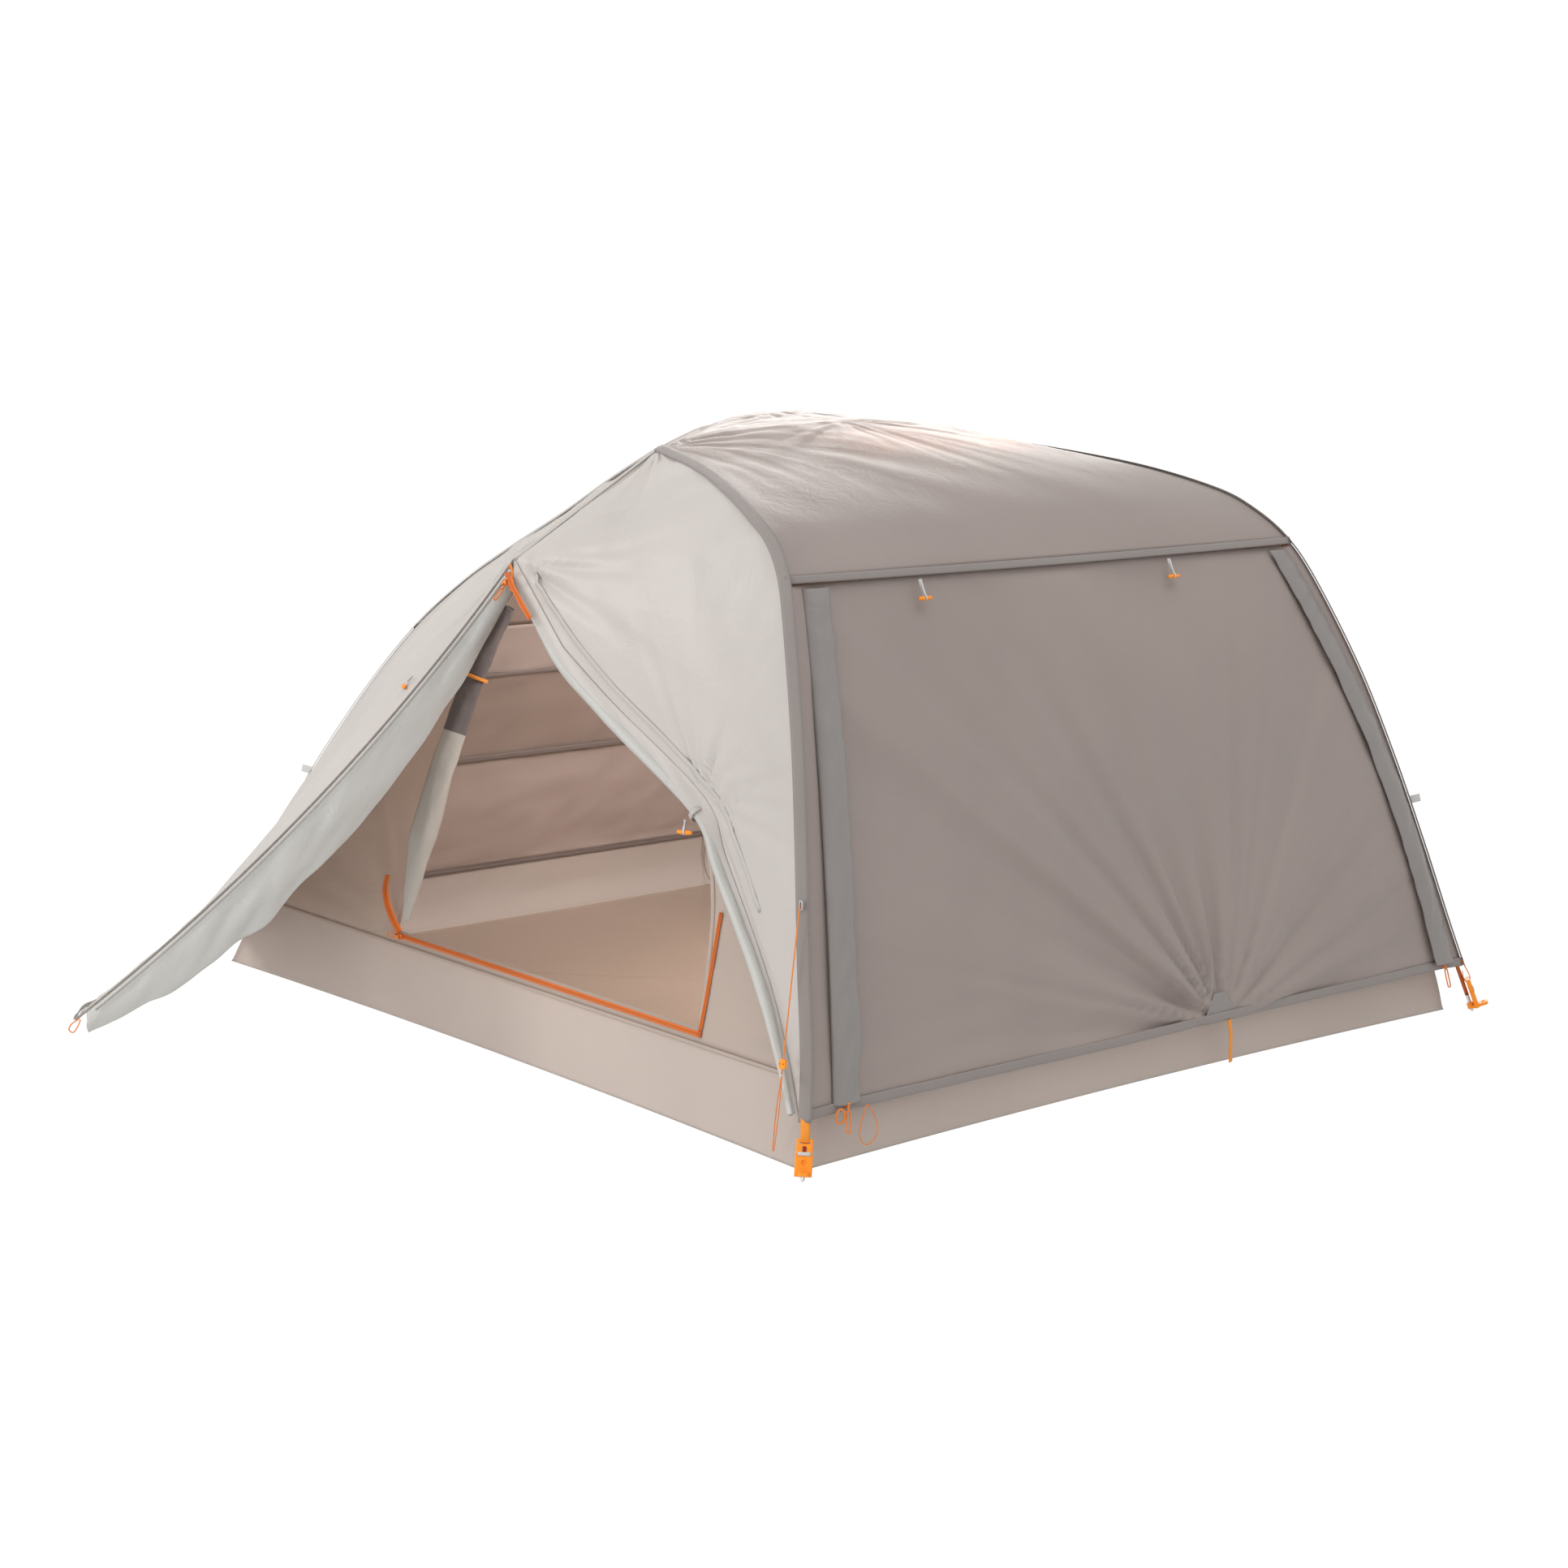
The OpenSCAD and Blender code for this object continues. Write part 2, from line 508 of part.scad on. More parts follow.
// Weather flaps that stand over the side zips, s = +1 or -1 is the side they are sewn on
flap_w = 64;
module storm_flap(Y, s) sheet([for (i = [0 : 12])
    let (p = side_zip(Y, lerp(0.035, 0.985, i / 12)),
         row = [for (c = [[-0.52, -6], [-0.22, 9], [0.2, 10], [0.48, 5]])
             p + [c[1], s * flap_w * c[0], 0]])
    s > 0 ? row : [for (j = [3 : -1 : 0]) row[j]]], 1.2);
module storm_flap_front() color("dimgray") storm_flap(front_zip_y, -1);
module storm_flap_rear() color("dimgray") storm_flap(rear_zip_y, 1);

// Reinforced pull-out point on the head end hem, with its strap to the ground edge
patch_y = 190;
module hem_patch() color("dimgray") {
    sheet([for (i = [0 : 2]) let (p = side_zip(front_zip_y, lerp(-0.008, 0.05, i / 2)))
        [for (y = [-75 + 15 * i, 0, 32 - 4 * i]) [p[0] - 6, patch_y + y, p[2]]]], 1.2);
    tube([[1156, patch_y + 4, 108], [1153, patch_y + 14, 70], [1150, patch_y + 26, 12]], 5, 8);
}

// Webbing loops on the fly for guylines
tab_z = 500;
module guy_tab(P) {
    p = at_height(moved(P, fly_gap + 4), tab_z);
    frame_at(p, outward(p), [0, 0, 1]) linear_extrude(24) difference() {
        square([18, 5], center = true);
        square([13, 2], center = true);
    }
}
module guy_tabs() color("silver")
    for (P = [head, foot, mirrored(head), mirrored(foot)]) guy_tab(P);

// Line from the front head corner of the fly down through its adjuster, and the pair of
// thinner lines that carry on to the ground edge
LINE_TOP = [1071, -942, 506];
LINE_LOW = [1115, -1020, 216];
LINE_END = [1076, -1012, 34];
adjuster_h = 18;
line_down = unit(LINE_LOW - LINE_TOP);
line_split = LINE_LOW + line_down * 20;
pair_gap = 4;
module corner_line() color("coral") {
    tube([LINE_TOP, lerp(LINE_TOP, line_split, 0.5), line_split], cord_d, 8);
    for (y = [-1, 1])
        tube([line_split + [pair_gap * y, 0, -4], LINE_END + [pair_gap * y, 0, 0]], 2, 8);
}

// ---- Moving hardware ----

pin_x = 8;
pin_r = 1;
// A zip slider: X is away from the cloth, Z runs along the zip, Y across it
module slider_shape() difference() {
    union() {
        translate([2, 0, 0]) rotate([0, 90, 0]) linear_extrude(3) rounded(16, 11, 3);
        for (y = [-1, 1]) translate([4.5, y * 4.4 - 0.8, -2]) cube([5, 1.6, 4]);
        translate([pin_x, 0, 0]) rotate([90, 0, 0]) cylinder(h = 10.4, r = pin_r, center = true);
    }
    for (y = [-1, 1]) translate([4, y * 5.5, 7]) rotate([0, 90, 0])
        cylinder(h = 10, r = 2, center = true);
}
loop_w = 9;
// A pull: an eye on the slider's pin, a plate and a loop of cord
module pull_shape(reach) {
    difference() {
        union() {
            translate([pin_x, 0, 0]) rotate([90, 0, 0]) cylinder(h = 6.6, r = 2.3, center = true);
            translate([pin_x - 1, -2.6, -16]) cube([2, 5.2, 14.5]);
        }
        translate([pin_x, 0, 0]) rotate([90, 0, 0]) cylinder(h = 12, r = pin_r + 0.15, center = true);
    }
    straight = reach - loop_w;
    translate([pin_x, 0, -18]) {
        for (y = [-1, 1]) translate([0, y * loop_w / 2, -straight])
            cylinder(h = straight, d = cord_d);
        for (end = [0, 1]) translate([0, 0, -straight * end]) rotate([0, 90, 0])
            rotate([0, 0, 90 - 180 * end]) rotate_extrude(angle = 180)
                translate([loop_w / 2, 0]) circle(d = cord_d);
    }
}
module on_side_zip(Y) {
    a = side_zip(Y, 0);
    b = side_zip(Y, 0.01);
    frame_at(a, b - a, [1, 0, 0]) translate([-4, 0, 0]) children();
}
module slider_side_front() color("orange") on_side_zip(front_zip_y) slider_shape();
module pull_side_front() color("orange") on_side_zip(front_zip_y) pull_shape(44);
module slider_side_rear() color("orange") on_side_zip(rear_zip_y) slider_shape();
module pull_side_rear() color("orange") on_side_zip(rear_zip_y) pull_shape(44);

slider_x = -392;
module on_sill() {
    z = sill_z + zip_w / 2;
    frame_at([slider_x, front_y(slider_x, z) - zip_lift - 5, z], [1, 0, 0], [0, -1, 0]) children();
}
module slider_door() color("orange") on_sill() slider_shape();
module pull_door() color("orange") on_sill() pull_shape(34);

// The porch slider waits at the apex and runs down the free edge
porch_start = 0.035;
module on_porch_zip() {
    a = arc(apex, porch_mid, porch_tip, porch_start) + [24, -14, -6];
    b = arc(apex, porch_mid, porch_tip, porch_start + 0.01) + [24, -14, -6];
    frame_at(a, a - b, [0.94, 0.34, 0]) translate([3, 0, 0]) children();
}
module slider_porch() color("orange") on_porch_zip() slider_shape();
module pull_porch() color("orange") on_porch_zip() pull_shape(30);

// A roll-up toggle: a strap hanging from its top edge and a bar through its end;
// Y is the bar's direction, X is away from the cloth
module toggle_shape(strap) {
    translate([-0.8, -4.5, -strap]) cube([1.6, 9, strap - 1]);
    translate([0, 0, -strap]) rotate([90, 0, 0]) {
        cylinder(h = toggle_len, r = 4, center = true);
        for (z = [-1, 1]) translate([0, 0, z * toggle_len / 2]) sphere(4);
        cylinder(h = 11, r = 5.2, center = true);
    }
}
module side_toggle(y) {
    p = [at_height(fly_head, seam_z - 6)[0] + 16, y, seam_z - 20];
    frame_at(p, [-0.42, 0, 0.9], [1, 0, 0]) toggle_shape(42);
}
module toggle_side_front() color("orange") side_toggle(-412);
module toggle_side_rear() color("orange") side_toggle(335);
// A point on the porch panel, t down its edges and s across from the pole line to the zip line
function porch_point(t, s) = lerp(down(fly_foot, t) + [3, 0, 0], along(left_edge, t), s);
porch_toggle_lift = 9;
module toggle_porch() color("orange") {
    p = porch_point(0.45, 0.84);
    up = porch_point(0.44, 0.84) - p;
    out = unit(cross(up, porch_point(0.45, 0.8) - p));
    frame_at(p + out * porch_toggle_lift, up, out) toggle_shape(30);
}
module toggle_roll() color("orange")
    translate([661, -905, 610]) rotate([0, 0, -70]) toggle_shape(26);
module toggle_door() color("orange")
    translate([-352, -775, 818]) rotate([0, 0, -90]) toggle_shape(24);

// Cord adjuster that slides up and down the corner line
module line_adjuster() color("orange")
    frame_at(LINE_LOW, -line_down, [0, -1, 0]) difference() {
        translate([0, 0, -adjuster_h / 2]) linear_extrude(adjuster_h) rounded(7, 18, 2);
        cylinder(h = adjuster_h + 2, r = cord_d / 2 + 0.5, center = true);
        for (y = [-1, 1]) translate([0, y * 5.6, 0]) rotate([0, 90, 0])
            cylinder(h = 12, r = 2, center = true);
    }

pole_front_right();
pole_front_left();
pole_rear_right();
pole_rear_left();
ridge_pole();
brow_pole();
shock_cords();
pole_tips();
pole_ferrules();
hub_front();
hub_rear();
brow_swivel();
foot_front_right();
foot_front_left();
foot_rear_right();
foot_rear_left();
buckle_front_right();
buckle_front_left();
buckle_rear_right();
buckle_rear_left();
floor_tub();
body_front();
body_rear();
body_right();
body_left();
body_roof();
pole_clips();
door_roll();
door_zip();
wall_cord();
fly_roof();
fly_right();
fly_left();
fly_rear();
fly_front();
porch_left();
porch_edge_flap();
porch_roll();
porch_zip();
side_zip_front();
side_zip_rear();
storm_flap_front();
storm_flap_rear();
hem_patch();
guy_tabs();
corner_line();
slider_side_front();
pull_side_front();
slider_side_rear();
pull_side_rear();
slider_door();
pull_door();
slider_porch();
pull_porch();
toggle_side_front();
toggle_side_rear();
toggle_porch();
toggle_roll();
toggle_door();
line_adjuster();
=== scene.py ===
import math

import bmesh
import bpy
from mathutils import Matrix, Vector, noise


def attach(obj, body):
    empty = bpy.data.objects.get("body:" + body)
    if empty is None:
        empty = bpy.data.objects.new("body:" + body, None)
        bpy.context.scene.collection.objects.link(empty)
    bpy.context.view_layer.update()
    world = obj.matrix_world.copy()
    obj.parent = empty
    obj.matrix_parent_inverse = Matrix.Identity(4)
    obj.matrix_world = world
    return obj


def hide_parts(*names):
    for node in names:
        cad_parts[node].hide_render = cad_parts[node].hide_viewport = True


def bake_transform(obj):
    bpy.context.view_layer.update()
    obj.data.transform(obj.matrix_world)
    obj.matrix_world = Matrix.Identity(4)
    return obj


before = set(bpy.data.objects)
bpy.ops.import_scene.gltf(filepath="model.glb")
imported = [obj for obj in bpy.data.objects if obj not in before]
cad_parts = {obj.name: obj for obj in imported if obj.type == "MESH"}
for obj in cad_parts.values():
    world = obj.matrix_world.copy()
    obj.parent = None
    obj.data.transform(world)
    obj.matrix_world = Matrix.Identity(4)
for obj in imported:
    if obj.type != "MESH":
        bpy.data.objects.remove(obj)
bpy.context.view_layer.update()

# ---- Studio ----
# A bare tent against plain white, seen from the head-end front corner at a standing eye's height.
# Even daylight all round, with a soft key from high on the porch side and a weaker one behind.

lens = bpy.data.cameras.new("studio_view")
lens.lens = 64.5
lens.sensor_width = 36
lens.clip_end = 200
viewer = bpy.data.objects.new("studio_view", lens)
viewer.location = (5.113, -4.301, 1.644)
viewer.rotation_euler = (math.radians(90 - 9.74), 0, math.radians(50.6))
bpy.context.scene.collection.objects.link(viewer)
bpy.context.scene.camera = viewer
bpy.context.scene.view_settings.view_transform = "Standard"

LIGHT_GIVEN, LIGHT_SEEN = 0.80, 1.04
daylight = bpy.data.worlds.new("daylight")
daylight.use_nodes = True
sky = daylight.node_tree
backdrop = sky.nodes["Background"]
backdrop.inputs["Color"].default_value = (1.0, 0.995, 0.985, 1)
seen = sky.nodes.new("ShaderNodeLightPath")
strength = sky.nodes.new("ShaderNodeMapRange")
strength.inputs["To Min"].default_value = LIGHT_GIVEN
strength.inputs["To Max"].default_value = LIGHT_SEEN
sky.links.new(seen.outputs["Is Camera Ray"], strength.inputs["Value"])
sky.links.new(strength.outputs[0], backdrop.inputs["Strength"])
bpy.context.scene.world = daylight


def soft_lamp(name, place, aim, size, power, tint):
    lamp = bpy.data.lights.new(name, "AREA")
    lamp.size, lamp.energy, lamp.color = size, power, tint
    holder = bpy.data.objects.new(name, lamp)
    holder.location = place
    holder.rotation_euler = (Vector(aim) - Vector(place)).to_track_quat("-Z", "Y").to_euler()
    bpy.context.scene.collection.objects.link(holder)


soft_lamp("key", (-3.5, -6.0, 5.2), (0, 0, 0.5), 2.2, 170, (1, 0.99, 0.97))
soft_lamp("sky", (2.5, 1.0, 7.0), (0, 0, 0.5), 4.0, 110, (1, 1, 1))
soft_lamp("door_fill", (1.6, -4.6, 0.7), (-0.5, 0, 0.30), 1.2, 35, (1, 0.97, 0.95))
soft_lamp("behind", (-5.0, 4.5, 3.2), (0, 0, 0.6), 3.0, 220, (1, 0.97, 0.94))
soft_lamp("inside", (0.45, 0.10, 1.10), (-0.9, 0.1, 0.25), 0.5, 24, (1, 0.96, 0.94))

# ---- Pole line ----
# Two shock-corded aluminium legs run up from each side to a hub on the front arch, and again on
# the rear one, which is its mirror image. The cloth hangs from and is drawn over these lines.

HEAD_LEG = [(1.180, -1.025, 0), (1.130, -0.970, 0.200), (1.072, -0.930, 0.400),
    (1.012, -0.886, 0.600), (0.942, -0.838, 0.800), (0.850, -0.782, 1.000),
    (0.790, -0.748, 1.095), (0.715, -0.717, 1.157), (0.625, -0.690, 1.198),
    (0.460, -0.625, 1.243), (0.250, -0.540, 1.278), (0, -0.460, 1.305)]
FOOT_LEG = [(-1.180, -1.025, 0), (-1.095, -0.965, 0.165), (-1.005, -0.890, 0.340),
    (-0.915, -0.825, 0.520), (-0.795, -0.750, 0.710), (-0.670, -0.685, 0.865),
    (-0.545, -0.630, 0.975), (-0.420, -0.590, 1.055), (-0.260, -0.545, 1.145),
    (-0.125, -0.500, 1.232), (0, -0.460, 1.305)]
RIDGE = [(0, -0.460, 1.305), (0, -0.250, 1.337), (0, -0.044, 1.347), (0, 0.250, 1.337),
    (0, 0.460, 1.305)]


def bent(points, steps):
    P = [Vector(p) for p in points]
    out = []
    for i in range(len(P) - 1):
        a, b, c, d = P[max(i - 1, 0)], P[i], P[i + 1], P[min(i + 2, len(P) - 1)]
        for j in range(steps):
            t = j / steps
            out.append(0.5 * (2 * b + (c - a) * t + (2 * a - 5 * b + 4 * c - d) * t * t
                + (3 * b - a - 3 * c + d) * t ** 3))
    return out + [P[-1]]


def outward(p):
    return Vector((p[0] / 1.39, p[1] / 1.05, p[2] / 1.69)).normalized()


def offset(line, gap):
    return [p + gap * outward(p) for p in line]


def at_height(line, z):
    for a, b in zip(line, line[1:]):
        if b.z >= z:
            return a.lerp(b, min(1, max(0, (z - a.z) / (b.z - a.z))))
    return line[-1].copy()


def along(line, share):
    lengths = [(b - a).length for a, b in zip(line, line[1:])]
    left = share * sum(lengths)
    for a, b, d in zip(line, line[1:], lengths):
        if left <= d:
            return a.lerp(b, left / d)
        left -= d
    return line[-1].copy()


def across_y(p):
    return Vector((p[0], -p[1], p[2]))


def span_of(line):
    return sum((b - a).length for a, b in zip(line, line[1:]))


FLY_GAP, BODY_GAP = 0.0135, 0.045
head, foot = bent(HEAD_LEG, 8), bent(FOOT_LEG, 8)
LEGS = (("front_right", head), ("front_left", foot),
    ("rear_right", [across_y(p) for p in head]), ("rear_left", [across_y(p) for p in foot]))
fly_head, fly_foot = offset(head, FLY_GAP), offset(foot, FLY_GAP)
body_head, body_foot = offset(head, -BODY_GAP), offset(foot, -BODY_GAP)

# ---- Cloth ----
# All panels are thin coated nylon cut flat and drawn tight over the poles. Each is one fine grid on
# its pole lines, pushed in and out by a few millimetres into the pulls and ripples of tight cloth.


def shader_group(name, wanted_in, wanted_out):
    group = bpy.data.node_groups.new(name, "ShaderNodeTree")
    for label, kind, value in wanted_in:
        made = group.interface.new_socket(name=label, in_out="INPUT", socket_type=kind)
        if value is not None:
            made.default_value = value
    for label, kind in wanted_out:
        group.interface.new_socket(name=label, in_out="OUTPUT", socket_type=kind)
    return group, group.nodes.new("NodeGroupInput"), group.nodes.new("NodeGroupOutput")


def maths(tree, how, a, b=None, clamp=False):
    made = tree.nodes.new("ShaderNodeMath")
    made.operation, made.use_clamp = how, clamp
    for socket, value in zip(made.inputs, (a, b)):
        if value is None:
            continue
        if isinstance(value, (int, float)):
            socket.default_value = value
        else:
            tree.links.new(value, socket)
    return made.outputs[0]


def tint_between(tree, share, a, b):
    made = tree.nodes.new("ShaderNodeMix")
    made.data_type = "RGBA"
    tree.links.new(share, made.inputs["Factor"])
    for socket, value in ((made.inputs["A"], a), (made.inputs["B"], b)):
        if isinstance(value, tuple):
            socket.default_value = value
        else:
            tree.links.new(value, socket)
    return made.outputs["Result"]


def bump(tree, height, strength, distance, under=None):
    made = tree.nodes.new("ShaderNodeBump")
    made.inputs["Strength"].default_value = strength
    made.inputs["Distance"].default_value = distance
    tree.links.new(height, made.inputs["Height"])
    if under:
        tree.links.new(under, made.inputs["Normal"])
    return made.outputs[0]


def laid_on(tree, group, vector):
    made = tree.nodes.new("ShaderNodeGroup")
    made.node_tree = group
    tree.links.new(vector, made.inputs["Vector"])
    return made


def blank_finish(name):
    made = bpy.data.materials.new(name)
    made.use_nodes = True
    return made, made.node_tree, made.node_tree.nodes["Principled BSDF"]


def toned(colour, share):
    return tuple(min(1, c * share) for c in colour) + (1,)


# Fine plain weave with a heavier thread every few millimetres, read along the cut of the cloth
ripstop, got, give = shader_group("ripstop_weave",
    [("Vector", "NodeSocketVector", None), ("Thread", "NodeSocketFloat", 900.0),
     ("Check", "NodeSocketFloat", 190.0)],
    [("Height", "NodeSocketFloat"), ("Shade", "NodeSocketFloat")])
parts = ripstop.nodes.new("ShaderNodeSeparateXYZ")
ripstop.links.new(got.outputs["Vector"], parts.inputs[0])
ribs = []
for axis in (0, 1):
    turn = maths(ripstop, "MULTIPLY", parts.outputs[axis], got.outputs["Check"])
    ridge = maths(ripstop, "ABSOLUTE", maths(ripstop, "SINE",
        maths(ripstop, "MULTIPLY", turn, math.pi)))
    ribs.append(maths(ripstop, "POWER", maths(ripstop, "SUBTRACT", 1.0, ridge), 6.0))
heavy = maths(ripstop, "MAXIMUM", ribs[0], ribs[1])
thin = []
for axis in (0, 1):
    turn = maths(ripstop, "MULTIPLY", parts.outputs[axis], got.outputs["Thread"])
    thin.append(maths(ripstop, "SINE", maths(ripstop, "MULTIPLY", turn, math.pi)))
fine = maths(ripstop, "MULTIPLY", thin[0], thin[1])
height = maths(ripstop, "ADD", heavy, maths(ripstop, "MULTIPLY", fine, 0.25))
ripstop.links.new(height, give.inputs["Height"])
ripstop.links.new(heavy, give.inputs["Shade"])

# Broad, faint changes of tone from handling and from the coating, with finer soft creases
handled, got, give = shader_group("handled_cloth",
    [("Vector", "NodeSocketVector", None), ("Broad", "NodeSocketFloat", 2.5),
     ("Crease", "NodeSocketFloat", 26.0)],
    [("Tone", "NodeSocketFloat"), ("Crease Height", "NodeSocketFloat")])
cloud = handled.nodes.new("ShaderNodeTexNoise")
cloud.inputs["Detail"].default_value = 4
handled.links.new(got.outputs["Vector"], cloud.inputs["Vector"])
handled.links.new(got.outputs["Broad"], cloud.inputs["Scale"])
crumple = handled.nodes.new("ShaderNodeTexNoise")
crumple.inputs["Detail"].default_value = 3
crumple.inputs["Distortion"].default_value = 0.6
handled.links.new(got.outputs["Vector"], crumple.inputs["Vector"])
handled.links.new(got.outputs["Crease"], crumple.inputs["Scale"])
handled.links.new(cloud.outputs["Fac"], give.inputs["Tone"])
ridged = maths(handled, "ABSOLUTE", maths(handled, "SUBTRACT", crumple.outputs["Fac"], 0.5))
handled.links.new(maths(handled, "SUBTRACT", 0.5, ridged), give.inputs["Crease Height"])


def cloth_finish(name, colour, shine=0.45, through=0.2, glow=None, crease=0.35, weave=0.10):
    """Coated nylon: a body colour, a weave, creases, and how much light comes through it."""
    made, tree, cloth = blank_finish(name)
    cut = tree.nodes.new("ShaderNodeUVMap")
    cut.uv_map = "cut"
    threads = laid_on(tree, ripstop, cut.outputs[0])
    worn = laid_on(tree, handled, tree.nodes.new("ShaderNodeTexCoord").outputs["Object"])
    tone = tint_between(tree, worn.outputs["Tone"], toned(colour, 0.86), toned(colour, 1.08))
    shade = maths(tree, "MULTIPLY", threads.outputs["Shade"], 0.5)
    tree.links.new(tint_between(tree, shade, tone, toned(colour, 0.90)), cloth.inputs["Base Color"])
    rough = maths(tree, "ADD", maths(tree, "MULTIPLY", worn.outputs["Tone"], 0.25), shine - 0.12)
    tree.links.new(rough, cloth.inputs["Roughness"])
    cloth.inputs["Sheen Weight"].default_value = 0.12
    cloth.inputs["Specular IOR Level"].default_value = 0.42
    folds = bump(tree, worn.outputs["Crease Height"], crease, 0.006)
    tree.links.new(bump(tree, threads.outputs["Height"], weave, 0.0006, folds), cloth.inputs["Normal"])
    if through:
        lit = tree.nodes.new("ShaderNodeBsdfTranslucent")
        lit.inputs["Color"].default_value = tuple(glow or colour) + (1,)
        blend = tree.nodes.new("ShaderNodeMixShader")
        blend.inputs["Fac"].default_value = through
        tree.links.new(cloth.outputs[0], blend.inputs[1])
        tree.links.new(lit.outputs[0], blend.inputs[2])
        tree.links.new(blend.outputs[0], tree.nodes["Material Output"].inputs["Surface"])
    return made


def ripple(p, seed, along_axis, long_size, short_size):
    """Ridged folds about long_size by short_size, running along a direction in space."""
    axis = Vector(along_axis).normalized()
    run = p.dot(axis)
    rest = p - run * axis
    q = rest / short_size + axis * (run / long_size) + Vector((seed, seed * 0.7, -seed))
    return noise.noise(q)


def pull(p, anchor, seed, spokes, reach, start=0.03):
    """Creases that fan out from where the cloth is held, dying away over reach."""
    d = p - Vector(anchor)
    r = d.length
    if r < 1e-6:
        return 0.0
    q = d / r * spokes + Vector((seed, -seed, seed * 0.3)) + Vector((r * 0.8, 0, 0))
    fade = math.exp(-r / reach) * min(1.0, r / start)
    folded = noise.noise(q)
    return (0.6 * folded + 0.7 * (0.22 - abs(folded))) * fade


def thicken(piece, thickness):
    shell = piece.modifiers.new("thickness", "SOLIDIFY")
    shell.thickness, shell.offset = thickness, 0


def sheet_piece(name, points, faces, cut, finishes):
    """A smooth open surface; cut holds each face's corners on the flat cloth, in metres."""
    mesh = bpy.data.meshes.new(name)
    mesh.from_pydata(points, [], faces)
    layer = mesh.uv_layers.new(name="cut")
    layer.data.foreach_set("uv", [x for quad in cut for uv in quad for x in uv])
    mesh.shade_smooth()
    for made in finishes:
        mesh.materials.append(made)
    piece = bpy.data.objects.new(name, mesh)
    bpy.context.scene.collection.objects.link(piece)
    return piece


def cloth(name, place, columns, rows, relief, finishes, thickness=0.0009, bands=None):
    """A sheet from place(u, v), pushed along its normal by relief(u, v, point)."""
    flat = [[place(j / columns, i / rows) for j in range(columns + 1)] for i in range(rows + 1)]
    points, faces, cut = [], [], []
    for i in range(rows + 1):
        for j in range(columns + 1):
            side = flat[i][min(j + 1, columns)] - flat[i][max(j - 1, 0)]
            rise = flat[min(i + 1, rows)][j] - flat[max(i - 1, 0)][j]
            normal = side.cross(rise)
            if normal.length > 1e-12:
                normal.normalize()
            p = flat[i][j]
            points.append(p + normal * relief(j / columns, i / rows, p))
    width = max(span_of(row) for row in flat)
    length = max(span_of([row[j] for row in flat]) for j in range(0, columns + 1, 4))
    stride = columns + 1
    for i in range(rows):
        for j in range(columns):
            a = i * stride + j
            faces.append((a, a + 1, a + stride + 1, a + stride))
            cut.append([((j + across) / columns * width, (i + up) / rows * length)
                for across, up in ((0, 0), (1, 0), (1, 1), (0, 1))])
    piece = sheet_piece(name, points, faces, cut, finishes)
    if bands:
        for k, face in enumerate(piece.data.polygons):
            face.material_index = bands((k % columns + 0.5) / columns, (k // columns + 0.5) / rows)
    piece["cut_width"], piece["cut_length"] = width, length
    piece["cut_area"] = sum(face.area for face in piece.data.polygons)
    if thickness:
        thicken(piece, thickness)
    return piece


LEAST_SHARE = 0.31
NARROWEST_SHEET = 0.01


def pitch(piece, held, slot, *nodes):
    """Fixes a finished sheet or tape to the tent and hides the CAD nodes it stands in for."""
    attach(piece, "tent")
    if nodes:
        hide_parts(*nodes)
    w, l, a = piece["cut_width"], piece["cut_length"], piece["cut_area"]
    if w >= NARROWEST_SHEET:
        min(max(a, LEAST_SHARE * w * l), w * l)


def ribbon(name, line, facing, width, finish, lift=0.0015, crown=0.0008, thickness=0.0012):
    """A sewn tape along line; facing(p) gives the way its face looks."""
    points, faces, cut = [], [], []
    run = 0.0
    for i, p in enumerate(line):
        way = (line[min(i + 1, len(line) - 1)] - line[max(i - 1, 0)]).normalized()
        face = facing(p)
        side = way.cross(face).normalized()
        face = side.cross(way).normalized()
        if i:
            run += (p - line[i - 1]).length
        for j in range(5):
            s = j / 2 - 1
            points.append(p + side * (s * width / 2) + face * (lift + crown * (1 - s * s)))
        if i:
            for j in range(4):
                a = (i - 1) * 5 + j
                faces.append((a, a + 1, a + 6, a + 5))
                step = (p - line[i - 1]).length
                cut.append([(x * width / 4, y) for x, y in
                    ((j, run - step), (j + 1, run - step), (j + 1, run), (j, run))])
    piece = sheet_piece(name, points, faces, cut, [finish])
    thicken(piece, thickness)
    piece["cut_width"], piece["cut_length"] = width, run
    piece["cut_area"] = sum(f.area for f in piece.data.polygons)
    return piece


taupe = cloth_finish("taupe_ripstop", (0.46, 0.395, 0.368), shine=0.42, through=0.34,
    glow=(0.66, 0.54, 0.47))
dark_taupe = cloth_finish("dark_taupe_ripstop", (0.285, 0.262, 0.250), shine=0.40, through=0.08)
seam_taupe = cloth_finish("taupe_seam_tape", (0.27, 0.238, 0.224), shine=0.5, through=0.0,
    crease=0.15, weave=0.5)
pale_grey = cloth_finish("pale_grey_ripstop", (0.70, 0.66, 0.63), shine=0.42, through=0.26,
    glow=(0.72, 0.68, 0.62))
pale_seam = cloth_finish("pale_grey_seam_tape", (0.50, 0.47, 0.445), shine=0.5, through=0.0,
    crease=0.15, weave=0.5)

# ---- Fly: head end panel ----
# The big taupe panel of the head end, drawn down to a pull-out point in the middle of its hem.
# Two long zips run up it, so it can be rolled up to the seam under the roof.

SIDE_ZIP = [(1.158, 0.125), (1.004, 0.660), (0.806, 1.085)]
FRONT_ZIP_Y = (-0.896, -0.797, -0.685)
REAR_ZIP_Y = (0.935, 0.835, 0.712)
HEM_PULL = (1.150, 0.180, 0.105)


